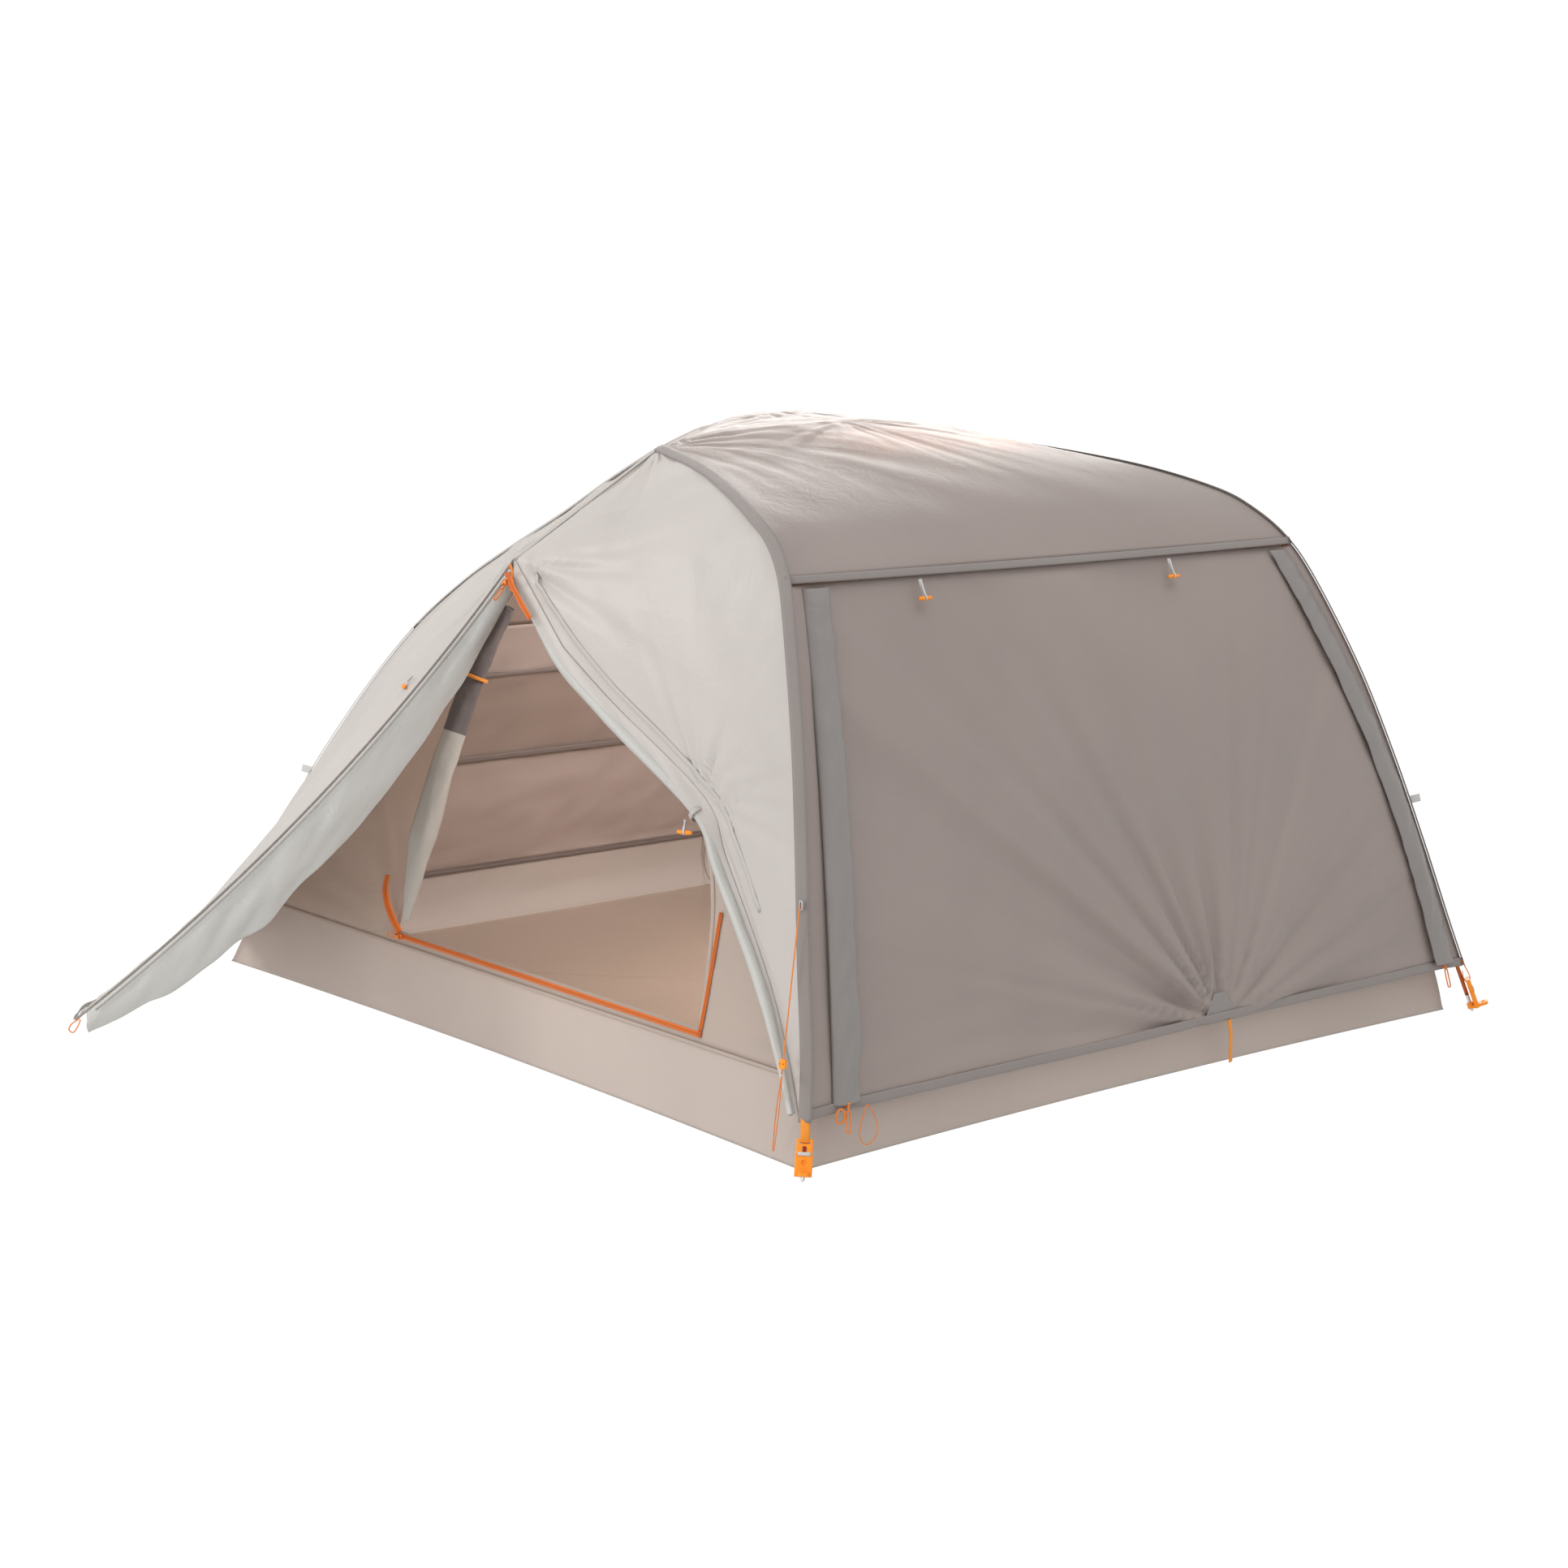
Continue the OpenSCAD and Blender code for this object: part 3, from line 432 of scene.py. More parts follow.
def arc_at(a, m, b, t):
    u, v = m - a, b - a
    w = u.cross(v)
    centre = a + (w.cross(u) * v.dot(v) + v.cross(w) * u.dot(u)) / (2 * w.dot(w))
    r = a - centre
    s = w.normalized().cross(r)
    q = b - centre
    angle = math.atan2(q.dot(s) / s.length, q.dot(r) / r.length) * t
    return centre + r * math.cos(angle) + s * math.sin(angle)


def side_zip(depths, t):
    a, m, b = (Vector((x, y, z)) for (x, z), y in zip(SIDE_ZIP, depths))
    return arc_at(a, m, b, t)


def edge_fade(u, v, sides=0.05, low=0.0, top=0.05):
    """1 in the middle of a panel and 0 along its sewn edges."""
    parts = [u / sides, (1 - u) / sides]
    if low:
        parts.append(v / low)
    if top:
        parts.append((1 - v) / top)
    s = max(0.0, min(1.0, *parts))
    return s * s * (3 - 2 * s)


rows_seen = {}


def head_end_row(v):
    if v not in rows_seen:
        t = -0.012 + 1.012 * v
        a, b = side_zip(FRONT_ZIP_Y, t), side_zip(REAR_ZIP_Y, t)
        p = at_height(fly_head, a.z) + Vector((0, 0.004, 0))
        rows_seen[v] = [p, a - Vector((0.0085, 0, 0)), Vector((b.x - 0.0085, b.y, a.z)), across_y(p)]
    return rows_seen[v]


def head_end(u, v):
    return along(head_end_row(v), u)


def head_end_relief(u, v, p):
    fan = pull(p, HEM_PULL, 3.1, 5.5, 0.95, 0.14)
    sharp = pull(p, HEM_PULL, 9.4, 13.0, 0.60, 0.16)
    hung = ripple(p, 8.2, (0, 0.12, 1), 0.9, 0.10)
    broad = ripple(p, 2.7, (0, -0.3, 1), 1.2, 0.34)
    lower = max(0.0, 1 - v / 0.3)
    return (0.046 * fan + 0.013 * sharp + 0.0045 * hung + 0.016 * broad
        + 0.004 * lower * ripple(p, 5.5, (0, 1, 0.1), 0.5, 0.05)) * edge_fade(u, v, 0.09)


head_panel = cloth("fly_head_end_cloth", head_end, 200, 110, head_end_relief, [taupe])
pitch(head_panel, "stretched", "fly_fabric", "fly_right")

# ---- Fly: roof ----
# One panel from the head end seam over both poles and the brow pole to the foot end seam. The
# brow pole's two ends lift it into low peaks, and pulls run out from each of them.

BROW_ENDS = ((-0.137, -0.044, 1.362), (0.137, -0.044, 1.362))
BROW_REACH = 0.138
BROW_LIFT_HEAD, BROW_LIFT_FOOT = 1.15, 2.6
SEAM_Z, SEAM_LEFT_Z = 1.100, 0.870


def over_the_top(right, left, low_right, low_left):
    """The arch line from a height on the head leg, over the hub, to one on the foot leg."""
    up = [at_height(right, low_right)] + [p for p in right if p.z > low_right]
    down = [p for p in left[:-1] if p.z > low_left] if low_left else left
    return up + list(reversed([at_height(left, low_left)] + down))


fly_arch = over_the_top(fly_head, fly_foot, SEAM_Z, SEAM_LEFT_Z)
arch_seen = {}


def roof_rise(x, side):
    d, lift = abs(x), BROW_LIFT_HEAD if x > 0 else BROW_LIFT_FOOT
    if d <= BROW_REACH:
        return 1 + (lift - 1) * d / BROW_REACH
    return lift * min(1, max(0, (side - d) / (side - BROW_REACH)))


def roof_place(arch, rise, seen):
    def place(u, v):
        if v not in seen:
            seen[v] = along(arch, v)
        p = seen[v]
        side = arch[0].x if p.x > 0 else -arch[-1].x
        q = p.lerp(across_y(p), u)
        return q + Vector((0, 0, rise * 4 * u * (1 - u) * roof_rise(p.x, side)))
    return place


def roof_relief(u, v, p):
    peaks = sum(pull(p, end, 4.4 + 3 * k, 6.0, 0.34, 0.08) for k, end in enumerate(BROW_ENDS))
    hub = pull(p, (0, -0.460, 1.31), 2.0, 8.0, 0.35) + pull(p, (0, 0.460, 1.31), 6.0, 8.0, 0.35)
    hang = ripple(p, 11.0, (0.8, 0.6, 0), 0.7, 0.12)
    broad = ripple(p, 6.6, (0.5, 0.8, 0), 1.0, 0.35)
    return 0.0015 + (0.007 * peaks + 0.010 * hub + 0.0035 * hang + 0.009 * broad
        ) * edge_fade(u, v, 0.05, 0.05, 0.05)


roof = cloth("fly_roof_cloth", roof_place(fly_arch, 0.058, arch_seen), 150, 190, roof_relief, [taupe])
pitch(roof, "stretched", "fly_fabric", "fly_roof")

# ---- Fly: foot end and rear panels ----
# Plain taupe panels that close the far side and the foot end down to the same hem. Each is sewn to
# the arch seams and held out by the poles, with a slight pull at the middle of its hem.

HEM_Z, REAR_TOP = 0.112, 1.302


def foot_end(u, v):
    p = at_height(fly_foot, HEM_Z + (SEAM_LEFT_Z - 0.003 - HEM_Z) * v)
    return across_y(p).lerp(p, u)


def rear_place(u, v):
    z = HEM_Z + (REAR_TOP - HEM_Z) * (1 - (1 - v) ** 1.8)
    return across_y(at_height(fly_head, z).lerp(at_height(fly_foot, z), u))


def plain_relief(seed, drop):
    def relief(u, v, p):
        fan = pull(p, drop, seed, 7.0, 0.5, 0.08)
        return (0.018 * fan + 0.003 * ripple(p, seed + 3, (0, 0, 1), 0.8, 0.10)
            + 0.009 * ripple(p, seed + 5, (0.3, 0.3, 1), 1.1, 0.33)) * edge_fade(u, v, 0.07)
    return relief


foot_panel = cloth("fly_foot_end_cloth", foot_end, 120, 70, plain_relief(3.0, (-1.12, 0, 0.11)),
    [taupe])
pitch(foot_panel, "stretched", "fly_fabric", "fly_left")
rear_panel = cloth("fly_rear_cloth", rear_place, 130, 100, plain_relief(7.0, (0.1, 1.0, 0.11)),
    [taupe])
pitch(rear_panel, "stretched", "fly_fabric", "fly_rear")

# ---- Fly: front and porch ----
# Pale grey cloth from the front arch out to a ridge seam. The head side stops at the rolled-up
# half of the porch; the foot side sweeps out to a point on the ground line, its free edge open.

APEX = Vector((0, -0.862, 1.088))
PORCH_MID = Vector((-0.150, -1.280, 0.585))
PORCH_TIP = Vector((-0.330, -1.780, 0.137))
ROLL_EDGE = [(0.205, -0.880, 0.915), (0.375, -0.868, 0.808), (0.657, -0.851, 0.650),
    (0.757, -0.871, 0.537), (0.966, -0.936, 0.349), (1.064, -0.966, 0.215), (1.142, -1.003, 0.116)]
hub_top = fly_head[-1]
right_edge = [hub_top, hub_top.lerp(APEX, 0.5), APEX] + bent(ROLL_EDGE, 5)
left_edge = [hub_top, hub_top.lerp(APEX, 0.5)] + [arc_at(APEX, PORCH_MID, PORCH_TIP, i / 24)
    for i in range(25)]


def downward(line):
    return list(reversed([at_height(line, HEM_Z)] + [p for p in line if p.z > HEM_Z]))


head_down, foot_down = downward(fly_head), downward(fly_foot)
front_rows, porch_rows = {}, {}


def front_place(u, v):
    if v not in front_rows:
        t = 0.012 + 0.988 * (1 - v)
        front_rows[v] = (along(right_edge, t), along(head_down, t) - Vector((0.003, 0, 0)))
    a, b = front_rows[v]
    return a.lerp(b, u)


def front_relief(u, v, p):
    tied = pull(p, (0.657, -0.851, 0.65), 2.2, 7.0, 0.30, 0.04)
    fan = pull(p, APEX, 5.1, 6.0, 0.6, 0.05) + 0.8 * tied
    arch = pull(p, (0, -0.46, 1.31), 8.8, 6.0, 0.5, 0.05)
    return 0.0012 + (0.020 * fan + 0.014 * arch + 0.005 * ripple(p, 4, (-0.7, 0.1, 0.7), 0.8, 0.09)
        + 0.006 * ripple(p, 9, (-0.5, 0, 0.8), 1.0, 0.28)) * edge_fade(u, v, 0.07, 0.03, 0.03)


front = cloth("fly_front_cloth", front_place, 80, 150, front_relief, [pale_grey])
pitch(front, "stretched", "light_fly_fabric", "fly_front")


def porch_place(u, v):
    if v not in porch_rows:
        t = 0.012 + 0.988 * (1 - v)
        porch_rows[v] = (along(foot_down, t) + Vector((0.003, 0, 0)), along(left_edge, t))
    a, b = porch_rows[v]
    return a.lerp(b, u)


def porch_relief(u, v, p):
    fan = pull(p, APEX, 1.7, 6.0, 0.6, 0.05) + pull(p, PORCH_TIP, 6.1, 7.0, 0.45, 0.05)
    free = max(0.0, (u - 0.72) / 0.28)
    return 0.0012 + (0.022 * fan + 0.007 * ripple(p, 2, (-0.3, -0.8, -0.5), 0.7, 0.08)
        + 0.009 * ripple(p, 12, (-0.5, -0.6, -0.5), 1.0, 0.30)
        + 0.006 * free * ripple(p, 5, (0.4, 0.4, 0.6), 0.12, 0.045)) * edge_fade(u, v, 0.05, 0.0, 0.03)


porch = cloth("porch_cloth", porch_place, 120, 150, porch_relief, [pale_grey])
pitch(porch, "stretched", "light_fly_fabric", "porch_left")

# The porch's free edge: a strip that hangs inwards from the stitch line, slack and crumpled
flap_cloth = cloth_finish("porch_flap_cloth", (0.70, 0.695, 0.675), shine=0.40, through=0.30,
    glow=(0.70, 0.70, 0.66), crease=0.5)


def flap_drop(t):
    return 0.055 + 0.430 * t * (1 - t) - 0.020 * t


def flap_place(u, v):
    t = 0.008 + 0.970 * v
    p = arc_at(APEX, PORCH_MID, PORCH_TIP, t)
    w = flap_drop(t) * (1 + 0.10 * noise.noise(Vector((t * 14, 0.3, 2.2))))
    bow = 0.012 * math.sin(math.pi * u)
    return p + Vector((0.003 + bow, -0.003 - 0.6 * bow + 0.002 * u, -0.002 - w * u))


def edge_flap_relief(u, v, p):
    return (0.010 * ripple(p, 3, (0.2, 0.3, 1), 0.30, 0.055)
        + 0.006 * ripple(p, 13, (0.1, 0.5, 0.8), 0.12, 0.03)) * min(1.0, u / 0.35)


porch_flap = cloth("porch_flap_cloth", flap_place, 34, 220, edge_flap_relief, [flap_cloth])
pitch(porch_flap, "hung", "light_fly_fabric", "porch_edge_flap")

# ---- Storm flaps and hem patch ----
# Darker strips sewn over the two head end zips, slack enough to pucker, and the reinforced
# triangle on the hem where a strap pulls the panel down.


def flap_on_zip(depths, side):
    def place(u, v):
        p = side_zip(depths, 0.992 * v)
        across = (u - 0.5) * 0.066
        stand = 0.011 * math.sin(math.pi * min(1, u * 0.9 + 0.1)) - 0.0065 * (1 - u)
        return p + Vector((stand + (0.003 if u > 0.05 else 0), -side * across, 0))
    return place


def flap_relief(seed, side):
    def relief(u, v, p):
        low = math.exp(-v / 0.12) + 0.45
        return -side * low * (0.009 * ripple(p, seed, (0, 0.5, 0.8), 0.16, 0.03)
            + 0.006 * ripple(p, seed + 4, (0, 0.2, 1), 0.30, 0.06)) * min(1, u / 0.2)
    return relief


for name, depths, side, seed in (("front", FRONT_ZIP_Y, -1, 3.3), ("rear", REAR_ZIP_Y, 1, 7.7)):
    flap = cloth("storm_flap_" + name + "_cloth", flap_on_zip(depths, side), 16, 260,
        flap_relief(seed, side), [dark_taupe])
    pitch(flap, "hung", "dark_fabric", "storm_flap_" + name)


PATCH_Y, PATCH_HALF_FOOT, PATCH_HALF_TOP, PATCH_RISE = 0.178, 0.060, 0.016, 0.058


def patch_place(u, v):
    half = PATCH_HALF_FOOT * (1 - v) + PATCH_HALF_TOP * v
    skew = 0.004 * (1 - v)
    y = PATCH_Y + (2 * u - 1) * half - skew
    hem = head_end_row(0)
    row = head_end_row(v * PATCH_RISE)
    return row[1].lerp(row[2], (y - hem[1].y) / (hem[2].y - hem[1].y)) + Vector((0.0045, 0, 0))


patch = cloth("hem_patch_cloth", patch_place, 20, 14,
    lambda u, v, p: 0.0015 * ripple(p, 2, (0, 0.3, 1), 0.2, 0.02), [dark_taupe], thickness=0.0014)
pitch(patch, "stretched", "dark_fabric", "hem_patch")

# ---- Webbing and bright tape ----
# Woven orange tape for the hem strap and hem loops, and grey reflective tape for the guy loops. The
# strap is sewn under the hem patch and runs down to a peg.

braid, got, give = shader_group("woven_tape",
    [("Vector", "NodeSocketVector", None), ("Pitch", "NodeSocketFloat", 600.0)],
    [("Height", "NodeSocketFloat")])
parts = braid.nodes.new("ShaderNodeSeparateXYZ")
braid.links.new(got.outputs["Vector"], parts.inputs[0])
lean = maths(braid, "ADD", parts.outputs[0], parts.outputs[1])
slope = maths(braid, "SUBTRACT", parts.outputs[0], parts.outputs[1])
twills = [maths(braid, "SINE", maths(braid, "MULTIPLY", way, got.outputs["Pitch"]))
    for way in (lean, slope)]
braid.links.new(maths(braid, "MAXIMUM", twills[0], twills[1]), give.inputs["Height"])


def tape_finish(name, colour, rough, pitch_size=2200.0, coordinate="UV", metal=0.0):
    made, tree, tape = blank_finish(name)
    place = tree.nodes.new("ShaderNodeTexCoord")
    threads = laid_on(tree, braid, place.outputs[coordinate])
    threads.inputs["Pitch"].default_value = pitch_size
    worn = laid_on(tree, handled, place.outputs["Object"])
    worn.inputs["Broad"].default_value = 40.0
    share = maths(tree, "ADD", maths(tree, "MULTIPLY", threads.outputs[0], 0.25),
        maths(tree, "MULTIPLY", worn.outputs["Tone"], 0.8), True)
    tree.links.new(tint_between(tree, share, toned(colour, 0.78), toned(colour, 1.1)),
        tape.inputs["Base Color"])
    tape.inputs["Roughness"].default_value = rough
    tape.inputs["Metallic"].default_value = metal
    tape.inputs["Sheen Weight"].default_value = 0.2
    tree.links.new(bump(tree, threads.outputs[0], 0.5, 0.0005), tape.inputs["Normal"])
    return made


orange_tape = tape_finish("orange_webbing", (0.90, 0.30, 0.012), 0.62)
orange_cord = tape_finish("orange_braided_cord", (0.86, 0.24, 0.02), 0.6, 3500.0, "Object")
zip_tape = tape_finish("orange_zip_tape", (0.80, 0.165, 0.010), 0.55, 1800.0)
grey_tape = tape_finish("grey_reflective_tape", (0.62, 0.62, 0.61), 0.35, 2200.0, metal=0.25)

hem_strap = ribbon("hem_strap", bent([(1.158, 0.194, 0.112), (1.155, 0.204, 0.075),
    (1.146, 0.214, 0.040), (1.141, 0.221, 0.010)], 6), lambda p: Vector((1, 0, 0.15)), 0.011, orange_tape)
pitch(hem_strap, "stretched", "orange_cord")

# ---- Seams and bindings ----
# Every panel joint is a bound seam: folded tape 10 to 26 mm wide, stitched down both sides. The hems
# are turned up inside the same tape. The widest, the dark 26 mm tape up the head side of the front arch,
# is partly seam and partly painted shade: it stands for the fly cloth wrapping round the pole in shadow.


def tape_on(name, line, width, finish, facing=outward, lift=0.0035, slot="fly_fabric"):
    pitch(ribbon(name, line, facing, width, finish, lift=lift), "stretched", slot)


def arch_line(side):
    line = [p for p in (fly_head if side > 0 else fly_foot) if p.z > HEM_Z]
    return [at_height(fly_head if side > 0 else fly_foot, HEM_Z - 0.004)] + line


# Seam and painted shade: this dark 26 mm tape paints the shaded fold of fly cloth round the front pole.
tape_on("seam_and_painted_shade_front_arch", arch_line(1), 0.026, seam_taupe)
tape_on("seam_rear_arch", [across_y(p) for p in arch_line(1)], 0.020, seam_taupe)
tape_on("seam_foot_front", arch_line(-1), 0.016, pale_seam)
tape_on("seam_foot_rear", [across_y(p) for p in arch_line(-1)], 0.016, seam_taupe)


def head_seam(z, bow):
    a = at_height(fly_head, z)
    return [a.lerp(across_y(a), i / 60) + Vector((0.0015, 0, -bow * math.sin(math.pi * i / 60)))
        for i in range(61)]


def foot_seam(z):
    a = at_height(fly_foot, z)
    return [a.lerp(across_y(a), i / 60) for i in range(61)]


tape_on("seam_head_end", head_seam(SEAM_Z - 0.004, 0.004), 0.017, seam_taupe,
    lambda p: Vector((0.92, 0, 0.40)), 0.004)
tape_on("seam_foot_end", foot_seam(SEAM_LEFT_Z - 0.002), 0.016, seam_taupe,
    lambda p: Vector((-0.8, 0, 0.6)), 0.004)


def hem_of(panel, columns):
    """The lowest row of a finished panel's own points, so the hem tape follows its ripples."""
    return [panel.data.vertices[j].co.copy() for j in range(columns + 1)]


hems = (("hem_head_end", head_panel, 200, Vector((1, 0, 0.1)), 0.020, seam_taupe),
    ("hem_foot_end", foot_panel, 120, Vector((-1, 0, 0.4)), 0.016, seam_taupe),
    ("hem_rear", rear_panel, 130, Vector((0, 1, 0.2)), 0.016, seam_taupe),
    ("hem_porch", porch, 120, Vector((-0.6, -0.7, 0.3)), 0.012, pale_seam))
for name, panel, columns, way, width, finish in hems:
    line = [p + Vector((0, 0, width * 0.4)) for p in hem_of(panel, columns)]
    tape_on(name, line, width, finish, lambda p, way=way: way, 0.0022)

tape_on("seam_porch_edge", left_edge[2:], 0.010, pale_seam, lambda p: Vector((-0.55, 0.25, 0.8)), 0.002,
    "light_fly_fabric")
tape_on("seam_porch_ridge", [hub_top.lerp(APEX, i / 16) for i in range(17)], 0.012, pale_seam,
    lambda p: Vector((0, -0.45, 0.9)), 0.003, "light_fly_fabric")

zip_seam = bent([(0.040, -0.862, 1.052), (0.300, -0.836, 0.868), (0.655, -0.846, 0.660),
    (0.890, -0.868, 0.452)], 12)


def on_front_panel(x, z):
    nearest = min(front.data.vertices, key=lambda w: (w.co.x - x) ** 2 + (w.co.z - z) ** 2)
    return Vector((x, nearest.co.y, z))


zip_seam = [on_front_panel(p.x + 0.02, p.z + 0.01) for p in zip_seam]
tape_on("seam_front_zip", zip_seam, 0.010, pale_seam, lambda p: Vector((0.1, -1, 0.35)), 0.0025,
    "light_fly_fabric")

# ---- Inner body ----
# The sleeping part: sheer beige cloth clipped inside the poles, with brown mesh in the middle of
# each wall, a zipped doorway in the front wall and a coated tub floor sewn on below.

TUB_H = 0.165
body_beige = cloth_finish("body_beige_cloth", (0.61, 0.54, 0.485), shine=0.5, through=0.42,
    glow=(0.86, 0.74, 0.66), crease=0.2)
body_light = cloth_finish("body_light_cloth", (0.60, 0.52, 0.48), shine=0.5, through=0.45,
    glow=(0.92, 0.80, 0.75), crease=0.15)
body_mesh = cloth_finish("body_brown_mesh", (0.48, 0.385, 0.335), shine=0.6, through=0.40,
    glow=(0.66, 0.51, 0.43), crease=0.2, weave=0.4)
tub_wall = cloth_finish("tub_wall_cloth", (0.63, 0.56, 0.51), shine=0.4, through=0.36,
    glow=(0.95, 0.88, 0.85), crease=0.25)
tub_floor = cloth_finish("tub_floor_cloth", (0.50, 0.385, 0.30), shine=0.35, through=0.10,
    glow=(0.6, 0.45, 0.35), crease=0.45)
body_seam = cloth_finish("body_seam_tape", (0.17, 0.135, 0.12), shine=0.6, through=0.0, crease=0.1,
    weave=0.4)
MESH_LOW, MESH_TOP, BODY_TOP = 0.490, 0.727, 1.258
body_base = TUB_H + 0.003


def mesh_band(z):
    return 1 if MESH_LOW < z < MESH_TOP else 0


def wall_relief(seed):
    def relief(u, v, p):
        return (0.006 * ripple(p, seed, (0.7, 0.7, 0.12), 0.6, 0.07)
            + 0.008 * ripple(p, seed + 5, (0.5, 0.5, 0.4), 1.0, 0.30)) * edge_fade(u, v, 0.04, 0.03)
    return relief


def body_end(line, top, flip):
    def place(u, v):
        p = at_height(line, body_base + (top - body_base) * v)
        a, b = (across_y(p), p) if flip else (p, across_y(p))
        return a.lerp(b, 0.004 + 0.992 * u)
    return place


for name, line, top, flip in (("right", body_head, 1.088, False), ("left", body_foot, 0.858, True)):
    wall = cloth("body_" + name + "_cloth", body_end(line, top, flip), 110, 80, wall_relief(3.0 + top),
        [body_light, body_mesh], bands=lambda u, v: mesh_band(body_base + (top - body_base) * v))
    pitch(wall, "stretched", "body_fabric", "body_" + name)


def long_wall_z(v):
    return body_base + (BODY_TOP - body_base) * (1 - (1 - v) ** 1.6)


def long_wall(u, v):
    z = long_wall_z(v)
    return at_height(body_foot, z).lerp(at_height(body_head, z), 0.004 + 0.992 * u)


rear_body = cloth("body_rear_cloth", lambda u, v: across_y(long_wall(1 - u, v)), 130, 90,
    wall_relief(8.0), [body_light, body_mesh], bands=lambda u, v: mesh_band(long_wall_z(v)))
pitch(rear_body, "stretched", "body_fabric", "body_rear")
body_arch = over_the_top(body_head, body_foot, 1.092, 0.862)
body_arch_seen = {}
body_roof = cloth("body_roof_cloth", roof_place(body_arch, 0.040, body_arch_seen), 80, 100,
    lambda u, v, p: 0.004 * ripple(p, 3.3, (0.6, 0.7, 0), 0.8, 0.15) * edge_fade(u, v, 0.05, 0.05, 0.05),
    [body_mesh])
pitch(body_roof, "stretched", "body_fabric", "body_roof")

# Front wall: the doorway is cut out of it, and its edge is bound
DOORWAY = [(-0.425, 0.196), (-0.432, 0.420), (-0.435, 0.650), (-0.420, 0.840), (-0.385, 0.985),
    (-0.300, 1.015), (-0.120, 0.985), (0.120, 0.915), (0.330, 0.825), (0.500, 0.715),
    (0.640, 0.580), (0.720, 0.430), (0.745, 0.196)]


def body_front_y(x, z):
    a, b = at_height(body_foot, z), at_height(body_head, z)
    return a.y + (b.y - a.y) * (x - a.x) / (b.x - a.x)


door_line = [(p.x, p.z) for p in bent([(x, 0, z) for x, z in DOORWAY], 8)]


def nearest_on_door(x, z):
    best = None
    for (ax, az), (bx, bz) in zip(door_line, door_line[1:] + door_line[:1]):
        dx, dz = bx - ax, bz - az
        t = max(0, min(1, ((x - ax) * dx + (z - az) * dz) / max(1e-12, dx * dx + dz * dz)))
        px, pz = ax + dx * t, az + dz * t
        far = math.hypot(px - x, pz - z)
        if best is None or far < best[0]:
            best = (far, px, pz)
    return best


def in_doorway(x, z):
    inside = False
    for (ax, az), (bx, bz) in zip(door_line, door_line[1:] + door_line[:1]):
        if (az > z) != (bz > z) and x < (bx - ax) * (z - az) / (bz - az) + ax:
            inside = not inside
    return inside


def front_wall_relief(u, v, p):
    free = min(1.0, nearest_on_door(p.x, p.z)[0] / 0.05)
    sill_end = pull(p, (-0.425, -0.9, 0.196), 4.0, 6.0, 0.35, 0.04)
    fan = sill_end + pull(p, (1.09, -0.93, 0.2), 7.0, 7.0, 0.4, 0.04)
    return free * (0.012 * fan + 0.004 * ripple(p, 6, (1, 0, 0.3), 0.6, 0.08)
        + 0.006 * ripple(p, 2, (0.6, 0, 0.8), 0.9, 0.28)) * edge_fade(u, v, 0.04, 0.02)


front_body = cloth("body_front_cloth", long_wall, 210, 130, front_wall_relief, [body_beige], thickness=0)
cut_mesh = front_body.data
work = bmesh.new()
work.from_mesh(cut_mesh)
gone = [f for f in work.faces if in_doorway(f.calc_center_median().x, f.calc_center_median().z)]
bmesh.ops.delete(work, geom=gone, context="FACES")
for vert in work.verts:
    if vert.is_boundary and nearest_on_door(vert.co.x, vert.co.z)[0] < 0.016 and vert.co.z > 0.18:
        _, x, z = nearest_on_door(vert.co.x, vert.co.z)
        vert.co = (x, body_front_y(x, z), z)
work.to_mesh(cut_mesh)
work.free()
thicken(front_body, 0.0009)
front_body["cut_area"] = sum(face.area for face in cut_mesh.polygons)
pitch(front_body, "stretched", "body_fabric", "body_front")
door_edge = [Vector((x, body_front_y(x, z), z)) for x, z in door_line]
front_way = Vector((0, -1, 0.2))
tape_on("doorway_binding", door_edge, 0.012, body_beige, lambda p: front_way, 0.0012, "body_fabric")


def level_line(side, z):
    a = at_height(side, z)
    return [a.lerp(across_y(a), i / 40) for i in range(41)]


for name, side, z, width, way in (("left_low", body_foot, MESH_LOW, 0.016, Vector((1, 0, -0.3))),
        ("left_high", body_foot, MESH_TOP, 0.010, Vector((1, 0, -0.4))),
        ("left_tub", body_foot, TUB_H, 0.009, Vector((1, 0, -0.2))),
        ("right_low", body_head, MESH_LOW, 0.014, Vector((-1, 0, -0.2))),
        ("right_tub", body_head, TUB_H, 0.009, Vector((-1, 0, -0.2)))):
    tape_on("body_seam_" + name, level_line(side, z), width, body_seam, lambda p, way=way: way, 0.010,
        "body_fabric")
for name, z, width in (("low", MESH_LOW, 0.016), ("high", MESH_TOP, 0.010), ("tub", TUB_H, 0.009)):
    a, b = across_y(at_height(body_foot, z)), across_y(at_height(body_head, z))
    tape_on("body_seam_rear_" + name, [a.lerp(b, i / 40) for i in range(41)], width, body_seam,
        lambda p: Vector((0, -1, -0.2)), 0.010, "body_fabric")
a, b = at_height(body_foot, TUB_H), at_height(body_head, TUB_H)
tape_on("body_seam_front_tub", [a.lerp(b, i / 60) for i in range(61)], 0.007, body_beige,
    lambda p: front_way, 0.002, "body_fabric")

# ---- Tub floor ----
# One coated sheet folded up all round into a low wall. It lies flat on the ground, its long edges
# drawn in a little between the corners where the corner feet hold it out.

FLOOR_X, FLOOR_Y = 1.130, 0.985
tub_head, tub_foot = at_height(body_head, TUB_H), at_height(body_foot, TUB_H)


